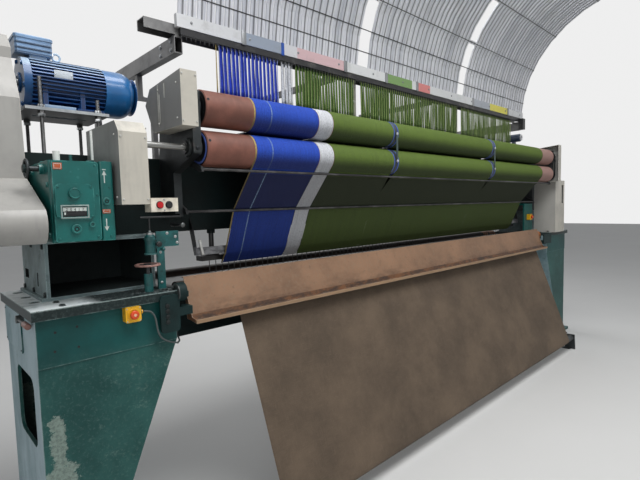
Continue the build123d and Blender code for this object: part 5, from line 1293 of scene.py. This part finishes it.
class TUFTING_OT_gearbox(bpy.types.Operator):
    """Fit the gearbox with its counter, bare plates, arrows, plugs and screws"""

    bl_idname = "tufting.gearbox"
    bl_label = "Gearbox fittings"

    def execute(self, context):
        pale = plastic("pale_print", (0.62, 0.68, 0.64), 0.5), "board_white"
        grey = plastic("counter_rim", (0.26, 0.34, 0.32), 0.4), "board_white"
        orange = plastic("orange_plate", (0.42, 0.09, 0.03), 0.45), "red_button"
        dark = oily_metal("plug_metal", (0.02, 0.03, 0.03), 0.35, 0.3), "dark_steel"
        rim = cast_paint("rim_teal", (0.004, 0.11, 0.1), (0.06, 0.24, 0.22), 0.2, 0.26), "teal_paint"
        ink = plastic("counter_black", (0.008, 0.009, 0.01), 0.3), "black_plastic"
        front, pad = COVER_FRONT, PAD_FRONT
        for name, (left, low), (right, high) in COVER_PLATES:
            plate = shaped_box((left, front - 1.6, low), (right, front, high), 0.5)
            finished(plate, f"gearbox_plate_{name}", *orange)
            border = frame_ring((left + 3, front - 2.2, low + 3),
                                (right - 3, front - 1.4, high - 3), 1.2, 0.15)
            finished(border, f"gearbox_plate_{name}_line", *pale)
        down = tuple((x - 1, ARROW_TURN - z) for x, z in ARROW)
        for name, outline in (("up", ARROW), ("bar", ARROW_BAR), ("down", down)):
            finished(outline_plate(outline, front - 0.6, 0.6), f"turning_arrow_{name}", *pale)
        finished(frame_ring((-2707, pad - 3, 1571), (-2609, pad, 1622), 5.0), "counter_frame", *grey)
        boxes = (
            ("counter_strip", (-2699, pad + 1.0, 1598), (-2617, pad + 2.5, 1613), 0.4, pale),
            ("counter_slot", (-2699, pad + 1.4, 1579), (-2617, pad + 3.0, 1597), 0.4, ink),
            ("counter_reset", (-2696, pad - 1.5, 1585), (-2690, pad + 2.0, 1594), 1.2, pale),
        )
        for name, low, high, round_by, finish in boxes:
            finished(shaped_box(low, high, round_by), name, *finish)
        fitted("counter_figures", figures("2 0 4 1 7", 9.5), [at(-2658, pad + 0.6, 1600.5)], *ink)
        for index, (x, z, radius) in enumerate(COVER_PLUGS):
            collar = bezel(radius + 2.0, 3.4, radius * 0.34)
            fitted(f"plug_collar_{index}", collar, [at(x, PLUG_FRONT, z)], *rim)
            core = turned(((radius * 0.62, 0), (radius * 0.62, 2.2), (radius * 0.4, 2.6),
                           (radius * 0.3, 1.2)), 6)
            fitted(f"plug_core_{index}", core, [at(x, PLUG_FRONT, z)], *dark)
        cap = turned(((20.4, 0), (20.4, 2), (18.6, 4), (16.5, 4), (15.6, 2.6), (4, 2.9)), 36)
        fitted("gearbox_cap", cap, [at(-2658, pad - 9, 1665)], *rim)
        fitted("pad_screws", screw_head(4.2), grid((-2712, -2598), pad, (1577, 1690)), *rim)
        fitted("cover_screws", screw_head(4.6), [at(x, front, z) for x, z in COVER_SCREWS], *rim)
        grip = turned(((15, -12), (17, -9), (17, 6), (12, 9), (9, 10), (9, 40), (16, 42), (16, 52)), 24)
        fitted("hand_wheel_hub", grip, [at(-2784, 65, 1762, "right")], *dark, "gearbox_handwheel")
        spots = [at(x, y, GEARBOX_TOP, "up", 0.9) for x, y in GEARBOX_TOP_BOLTS]
        fitted("gearbox_top_bolts", bolt_head(), spots, *rim)
        spots = [at(GEARBOX_SIDE, y, z, "left", 0.9) for y, z in GEARBOX_SIDE_BOLTS]
        fitted("gearbox_side_bolts", bolt_head(), spots, *rim)
        return {"FINISHED"}


class TUFTING_OT_motor_fittings(bpy.types.Operator):
    """Fit the motors with bare plates, bolts, threads and a fan grille"""

    bl_idname = "tufting.motor_fittings"
    bl_label = "Motor fittings"

    def execute(self, context):
        bright = oily_metal("bright_bolts", (0.62, 0.64, 0.66), 0.25, 0.25), "bright_steel"
        blue = motor_paint("motor_bolts", (0.02, 0.12, 0.33)), "motor_blue"
        plate = shaped_box((-2562, 480, 2224), (-2482, 483.4, 2259), 1.0)
        finished(plate, "motor_bare_plate", plastic("bare_plate", (0.6, 0.66, 0.72), 0.4), "bright_steel")
        fitted("motor_plate_rivets", screw_head(2.2, 8), grid((-2557, -2487), 480, 2241), *bright)
        rail = shaped_box((-2614, 462, 2072), (-2482, 482, 2091), 2.0)
        rail_paint = motor_paint("foot_rail_paint", (0.22, 0.32, 0.46), 0.4)
        finished(rail, "motor_foot_rail", rail_paint, "box_blue_grey")
        axis_y, axis_z = MOTOR_AXIS
        angles = [math.radians(15 + 60 * step) for step in range(6)]
        spots = [at(MOTOR_SHIELD_X, axis_y + SHIELD_BOLT_CIRCLE * math.cos(angle),
                    axis_z + SHIELD_BOLT_CIRCLE * math.sin(angle), "left", 0.85) for angle in angles]
        fitted("motor_shield_bolts", bolt_head(), spots, *blue)
        hub = turned(((46, 0), (46, 5), (40, 8), (30, 8), (27, 4)), 32)
        fitted("motor_shield_hub", hub, [at(MOTOR_SHIELD_X, axis_y, axis_z, "left")], *blue)
        grille = turned(((96, -1.5), (96, 1.6), (92.5, 1.6), (91, 0.2), (60, 0.2)), 40)
        fitted("fan_grille", grille, [at(FAN_COVER_X, axis_y, axis_z, "right")], *blue)
        for index, size in enumerate((0.78, 0.56, 0.34)):
            ring = turned(((80, 0.4), (80, 2.6), (76, 2.6), (74.5, 0.6)), 36)
            fitted(f"fan_grille_{index}", ring, [at(FAN_COVER_X, axis_y, axis_z, "right", size)], *blue)
        spots = grid((-2688, -2560), (552, 652), 2414, "up", 0.8)
        fitted("terminal_lid_screws", screw_head(), spots, *bright)
        gland = turned(((13, 0), (13, 4), (10.5, 4), (10.5, 13), (8.5, 16), (6, 16)), 6)
        fitted("terminal_gland", gland, [at(-2548, 600, 2352, "right")], *bright)
        nut = turned(((15.4, 0), (16.2, 1.5), (16.2, 10.5), (14, 12.4), (8.4, 12.6)), 6)
        fitted("stud_nuts", nut, grid(STUD_XS, (STUD_Y, 747), (2073.4, 2033.4), "up"), *bright)
        thread = turned(((8.7, 0), (9.3, 0.9), (8.7, 1.8)), 10)
        spots = []
        for x, top in zip(STUD_XS, (2208, 2134)):
            spots += grid(x, STUD_Y, (*range(1866, 2032, 5), *range(2090, top, 5)), "up")
        stud_steel = oily_metal("stud_steel", (0.2, 0.2, 0.2), 0.4, 0.6)
        fitted("stud_threads", thread, spots, stud_steel, "dark_steel")
        collar = turned(((35, -1), (35, 3), (31, 4), (22, 4), (20, 0)), 32)
        white = plastic("white_rim", (0.8, 0.82, 0.84))
        fitted("small_motor_rim", collar, [at(2200, 311, 2322)], white, "box_blue_grey")
        return {"FINISHED"}


class TUFTING_OT_guard_fittings(bpy.types.Operator):
    """Screw the sheet-metal guards down and fit the roller ends"""

    bl_idname = "tufting.guard_fittings"
    bl_label = "Guard and roller fittings"

    def execute(self, context):
        bright = oily_metal("guard_screws", (0.5, 0.5, 0.48), 0.3, 0.4), "bright_steel"
        dark = oily_metal("collar_iron", (0.03, 0.033, 0.036), 0.4, 0.5), "dark_steel"
        lilac = plastic("lilac_ring", (0.07, 0.12, 0.4), 0.45), "yarn_white"
        tape = plastic("pale_tape", (0.56, 0.56, 0.52), 0.55), "board_white"
        clamp = oily_metal("hanger_bolts", (0.55, 0.56, 0.58), 0.25, 0.3), "bright_steel"
        link_steel = oily_metal("link_steel", (0.07, 0.1, 0.1), 0.4, 0.6), "dark_steel"
        spots = grid((-2487, -2388), LOWER_GUARD_FRONT, (1640, 1890))
        spots += grid((-2228, -2165), UPPER_GUARD_FRONT, (1975, 2172))
        spots += grid((2165, 2228), UPPER_GUARD_FRONT, (1815, 2172))
        spots += grid((2275, 2440, 2525), BOX_GUARD_FRONT, (1245, 1795))
        fitted("guard_front_screws", screw_head(4.5), spots, *bright)
        spots = grid(UPPER_GUARD_SIDE, (-70, 110, 260), (1990, 2140), "left")
        spots += grid(-2495, (-40, 240), (1650, 1900), "left")
        fitted("guard_side_screws", screw_head(4.5), spots, *bright)
        for index, (y, low, high) in enumerate(GUARD_TAPES):
            strip = shaped_box((UPPER_GUARD_SIDE - 0.7, y - 4, low), (UPPER_GUARD_SIDE, y + 4, high), 0.25)
            finished(strip, f"guard_tape_{index}", *tape)
        for body, z in ROLLER_AXES:
            collar = turned(((62, 0), (62, 1.5), (56, 2.5), (40, 2.6), (38, 8), (33, 8), (31, 6)), 36)
            ends = [at(-ROLLER_END, 0, z, "left"), at(ROLLER_END, 0, z, "right")]
            fitted(f"{body}_end_collars", collar, ends, *dark, body)
            band = turned(((84.2, 0), (85.8, 0.6), (85.8, 8.4), (84.2, 9)), 48)
            fitted(f"{body}_hanger_bands", band, grid((-725, -684, 675, 716), 0, z, "right"), *lilac, body)
            plug = turned(((6.5, -1), (6.5, 0.9), (5.4, 1.3), (4.2, 0.6)), 14)
            angle = math.radians(COVER_PIN_ANGLE)
            spot = Matrix.Translation(place(-2086, 84 * math.cos(angle), z - 84 * math.sin(angle)))
            spot = spot @ Matrix.Rotation(math.atan2(math.cos(angle), -math.sin(angle)), 4, "X").inverted()
            fitted(f"{body}_cover_pin", plug, [spot], *dark, body)
        thread = turned(((72, 0.2), (73.5, 1), (73.5, 2.2), (72, 3), (66, 3), (65, 1)), 40)
        fitted(f"{body}_lilac_ring", thread, ends[:1], *lilac, body)
        cap = turned(((46, 0), (46, 4), (43, 7), (35, 7)), 32)
        spots = [at(sign * 2158, 0, ROLLER_AXES[0][1], side) for sign, side in ENDS]
        fitted("bracket_boss_caps", cap, spots, dark[0], "cast_iron")
        spots = grid((-2138, 2138), BRACKET_FRONT, (2110, 1990, 1870), size=0.8)
        fitted("bracket_bolts", bolt_head(), spots, *dark)
        spots = grid(HANGERS, HANGER_FRONT, (2056, 1878), size=0.72)
        fitted("hanger_clamp_bolts", bolt_head(), spots, *clamp)
        for name, x in zip(("left", "right"), HANGERS):
            link = shaped_box((x - 9, HANGER_FRONT, 1868), (x + 9, HANGER_FRONT + 4.5, 2066), 1.2)
            finished(link, f"{name}_hanger_link", *link_steel)
        spots = grid(HANGERS, 287, (1985, 2190, 2330, 2440), size=0.9)
        fitted("hanger_strap_bolts", bolt_head(), spots, *clamp)
        return {"FINISHED"}


class TUFTING_OT_header(bpy.types.Operator):
    """Fit the header with its comb teeth, clips, ties and bolts"""

    bl_idname = "tufting.header"
    bl_label = "Header comb and fittings"

    def execute(self, context):
        steel = oily_metal("header_steel", (0.28, 0.29, 0.3), 0.35, 0.5), "bright_steel"
        tooth = turned(((3.0, 0), (2.6, 16), (1.2, 24)), 5)
        teeth = tuple(COMB_START + STRAND_PITCH * index for index in range(COMB_TEETH))
        comb = plastic("comb_black", (0.014, 0.015, 0.018), 0.4)
        fitted("comb_teeth", tooth, grid(teeth, 244, 2474, "down"), comb, "black_plastic")
        strap = shaped_box((-1395, BOARD_FRONT - 1.5, 2500), (-1372, BOARD_FRONT, 2574), 0.6)
        finished(strap, "board_strap", plastic("blue_strap", (0.02, 0.09, 0.42), 0.5), "motor_blue")
        spots = grid(tuple(range(-1980, 2000, 360)), BOARD_FRONT, 2540, size=0.6)
        fitted("board_screws", bolt_head(), spots, *steel)
        clip = outline_plate(CLIP, 0.0, 5.0, 1.0)
        clip.data.transform(Matrix.Translation(-MIDDLE))
        spots = [Matrix.Translation(place(x, 230.6, 2538)) for x in (-1662, -836, -388, 12, 931, 1680)]
        fitted("board_clips", clip, spots, steel[0], "dark_steel")
        spots = []
        for sign, side in ENDS:
            spots += grid(sign * 2066, (300, 420, 1080), (2404, 2446), side, 0.9)
        fitted("frame_side_bolts", bolt_head(), spots, *steel)
        fitted("end_box_screws", screw_head(), grid((1970, 2006), 240, 2440, size=0.8), *steel)
        return {"FINISHED"}


class TUFTING_OT_controls(bpy.types.Operator):
    """Fit the push buttons, stop boxes, lubricator, rods and peg at the left end"""

    bl_idname = "tufting.controls"
    bl_label = "Controls"

    def execute(self, context):
        dark = plastic("control_black", (0.01, 0.011, 0.012), 0.35), "black_plastic"
        bright = oily_metal("control_steel", (0.4, 0.41, 0.41), 0.25, 0.5), "bright_steel"
        worn = oily_metal("hub_iron", (0.14, 0.15, 0.15), 0.35, 0.7), "dark_steel"
        yellow = plastic("yellow_rim", (0.85, 0.46, 0.015), 0.3), "yellow_box"
        orange = plastic("pale_ring", (0.85, 0.5, 0.32), 0.3), "red_button"
        plate_bolts = oily_metal("plate_bolts", (0.03, 0.035, 0.035)), "dark_steel"
        flange = cast_paint("flange_teal", (0.02, 0.13, 0.13), (0.2, 0.3, 0.3)), "teal_paint"
        cast = dark[0], "cast_iron"
        fitted("button_rims", bezel(16.0, 2.4, 2.2), grid((-2343, -2303), BUTTON_BOX_FRONT, 1616), *dark)
        spots = grid(-2323, BUTTON_BOX_FRONT, (1594, 1638), size=0.8)
        fitted("button_box_screws", screw_head(), spots, *bright)
        for node, x, y, z in STOP_BUTTONS:
            front = (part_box(node)[0].y - MIDDLE.y) * 1000
            crown = turned(((6.4, -1), (6.4, 1.0), (5.6, 1.5), (4.2, 1.5), (3.8, 0.9)), 20)
            fitted(f"{node}_ring", crown, [at(x, front, z)], *orange, node)
            fitted(f"{node}_collar", bezel(25.0, 3.0, 4.0, 32), [at(x, y, z)], *yellow)
            spots = grid((x - 27, x + 27), y, (z - 27, z + 27), size=0.62)
            fitted(f"{node}_screws", screw_head(), spots, *bright)
        peg = outline_plate(((-1997, 1431), (-1984, 1433), (-1966, 1353), (-1979, 1349)), 229.0, 10.5, 2.5)
        finished(peg, "white_peg", plastic("white_peg", (0.8, 0.8, 0.76), 0.4), "board_white")
        for name, outline, sides, spot, finish in (
            ("cable_gland", ((9.5, 0), (9.5, 5), (7.5, 5), (7.5, 10), (6.4, 14), (5, 15)), 12,
             at(-2413, 2, 1160, "right"), dark),
            ("bright_knob", ((4, -16), (4, 0), (8, 2), (11, 6), (11, 10), (8, 13), (3, 14)), 24,
             at(-2160, 84, 1521), worn),
            ("bright_knob_stem", ((9, 0), (9, 40), (7, 44), (7, 92)), 16, at(-2160, 190, 1521), cast),
            ("lubricator_flange", ((28, 0), (28, 5), (25, 7), (20, 7)), 28,
             at(*LUBRICATOR, 1393, "up"), flange),
            ("lubricator_cap", ((15, 0), (15, 7), (11, 10), (6, 10), (6, 17), (4, 18)), 20,
             at(*LUBRICATOR, 1484, "up"), bright),
            ("lubricator_knob", ((7, -22), (7, 0), (12, 2), (13, 9), (9, 13), (4, 14)), 18,
             at(-2286, 70, 1440), dark),
            ("apron_hub_ring", ((40, 0), (40, 3), (36, 5), (29, 5), (27, 2), (12, 2.5), (12, 6), (9, 8),
                                (5, 8)), 40, at(-2238, 14, 1218, "left"), worn),
        ):
            fitted(name, turned(outline, sides), [spot], *finish)
        flag_bolts = ((-2192, 1468), (-2232, 1486), (-2184, 1440))
        spots = [at(x, FLAG_FRONT, z, "front", 0.55) for x, z in flag_bolts]
        fitted("flag_bolts", bolt_head(), spots, *bright)
        fitted("post_bolts", bolt_head(), grid(-2268, FLAG_FRONT, (1260, 1400), size=0.5), *bright)
        spots = grid(-2296, -12, (1094, 1118, 1143, 1167), size=0.85)
        fitted("bracket_plate_bolts", bolt_head(height=4.0), spots, *plate_bolts)
        return {"FINISHED"}


class TUFTING_OT_leg_fittings(bpy.types.Operator):
    """Bolt the legs, their covers and the end frames"""

    bl_idname = "tufting.leg_fittings"
    bl_label = "Leg fittings"

    def execute(self, context):
        dark = oily_metal("leg_bolts", (0.05, 0.06, 0.06), 0.4, 0.6), "dark_steel"
        holes = plastic("hole_black", (0.004, 0.005, 0.005), 0.6), "dark_steel"
        plug = turned(((5, -1), (5, 0.8), (4, 0.8), (3.2, 0.1)), 14)
        fitted("leg_front_plugs", plug, [at(x, LEG_FRONT, z) for x, z in LEG_PLUGS], *holes)
        for sign, side in ENDS:
            spots = grid((sign * 2700, sign * 2280), (40, 130, 600), LEG_PLATE_TOP, "up")
            spots += grid((sign * 2413, sign * 2252), 24, LEG_PLATE_TOP + 10, "up", 0.9)
            fitted(f"{side}_plate_bolts", bolt_head(), spots, *dark)
            spots = grid(sign * 2806, (276, 576), (1024, 1164), side, 0.8)
            fitted(f"{side}_door_screws", screw_head(), spots, *dark)
            spots = grid(sign * 2720, (205, 400, 575), (1255, 1455), side)
            fitted(f"{side}_frame_bolts", bolt_head(), spots, *dark)
        return {"FINISHED"}


class TUFTING_OT_stage(bpy.types.Operator):
    """Set up the pale floor, the soft light and the photograph's camera"""

    bl_idname = "tufting.stage"
    bl_label = "Stage"

    def execute(self, context):
        scene = context.scene
        scene.view_settings.view_transform = "Standard"
        camera = bpy.data.objects.new("photo_camera", bpy.data.cameras.new("photo_camera"))
        scene.collection.objects.link(camera)
        camera.data.lens = CAMERA_LENS
        camera.data.sensor_width = 36.0
        camera.data.clip_start = 0.05
        camera.data.clip_end = 200.0
        turn = Matrix((CAMERA_RIGHT, -CAMERA_DOWN, -CAMERA_AHEAD)).transposed().to_4x4()
        camera.matrix_world = Matrix.Translation(CAMERA_PLACE + MIDDLE) @ turn
        scene.camera = camera
        bpy.ops.mesh.primitive_plane_add(size=FLOOR_SIZE, location=(0.0, 0.0, 0.0))
        floor = context.active_object
        floor.name = "pale_floor"
        r = Recipe("pale_floor")
        tone = r.mix((0.62, 0.62, 0.61), (0.68, 0.68, 0.67), r.noise(0.8, 3.0))
        floor.data.materials.append(r.finish(tone, 0.75))
        self.light_room(scene)
        for name, where, target, power in LAMPS:
            light = bpy.data.lights.new(name, "AREA")
            light.shape = "DISK"
            light.size = LAMP_SIZE
            light.energy = power
            lamp = bpy.data.objects.new(name, light)
            scene.collection.objects.link(lamp)
            lamp.location = Vector(where) + MIDDLE
            lamp.rotation_euler = (Vector(target) - Vector(where)).to_track_quat("-Z", "Y").to_euler()
        return {"FINISHED"}

    def light_room(self, scene):
        """Room that lights the machine softly and looks pale to the camera, in gloss and through glass."""
        scene.world = bpy.data.worlds.new("pale_room")
        scene.world.use_nodes = True
        tree = scene.world.node_tree
        tree.nodes.clear()
        output = tree.nodes.new("ShaderNodeOutputWorld")
        mix = tree.nodes.new("ShaderNodeMixShader")
        path = tree.nodes.new("ShaderNodeLightPath")
        seen = path.outputs["Is Camera Ray"]
        for kind in ("Is Glossy Ray", "Is Transmission Ray"):
            either_ray = tree.nodes.new("ShaderNodeMath")
            either_ray.operation = "MAXIMUM"
            tree.links.new(seen, either_ray.inputs[0])
            tree.links.new(path.outputs[kind], either_ray.inputs[1])
            seen = either_ray.outputs[0]
        tree.links.new(seen, mix.inputs[0])
        for index, (colour, strength) in enumerate(ROOM):
            background = tree.nodes.new("ShaderNodeBackground")
            background.inputs["Color"].default_value = colour
            background.inputs["Strength"].default_value = strength
            tree.links.new(background.outputs[0], mix.inputs[index + 1])
        tree.links.new(mix.outputs[0], output.inputs["Surface"])


class TUFTING_PT_panel(bpy.types.Panel):
    """Buttons that dress the machine"""

    bl_label = "Tufting machine"
    bl_idname = "TUFTING_PT_panel"
    bl_space_type = "VIEW_3D"
    bl_region_type = "UI"
    bl_category = "Tufting"

    def draw(self, context):
        for name in STEPS:
            self.layout.operator("tufting." + name)


STEPS = ("stage", "cable", "paint", "yarn", "cloth", "gearbox", "motor_fittings", "guard_fittings", "header",
         "controls", "leg_fittings")
CLASSES = (
    MachineColours, MachineSizes, TUFTING_OT_stage, TUFTING_OT_cable, TUFTING_OT_paint, TUFTING_OT_yarn,
    TUFTING_OT_cloth, TUFTING_OT_gearbox, TUFTING_OT_motor_fittings, TUFTING_OT_guard_fittings,
    TUFTING_OT_header, TUFTING_OT_controls, TUFTING_OT_leg_fittings, TUFTING_PT_panel,
)


def register():
    """Adds the classes and the scene's settings."""
    for item in CLASSES:
        bpy.utils.register_class(item)
    bpy.types.Scene.machine_colours = bpy.props.PointerProperty(type=MachineColours)
    bpy.types.Scene.machine_sizes = bpy.props.PointerProperty(type=MachineSizes)


def unregister():
    """Takes them away again."""
    del bpy.types.Scene.machine_sizes
    del bpy.types.Scene.machine_colours
    for item in reversed(CLASSES):
        bpy.utils.unregister_class(item)


def main():
    """Dresses the machine step by step."""
    register()
    for name in STEPS:
        getattr(bpy.ops.tufting, name)()


if __name__ == "__main__":
    main()
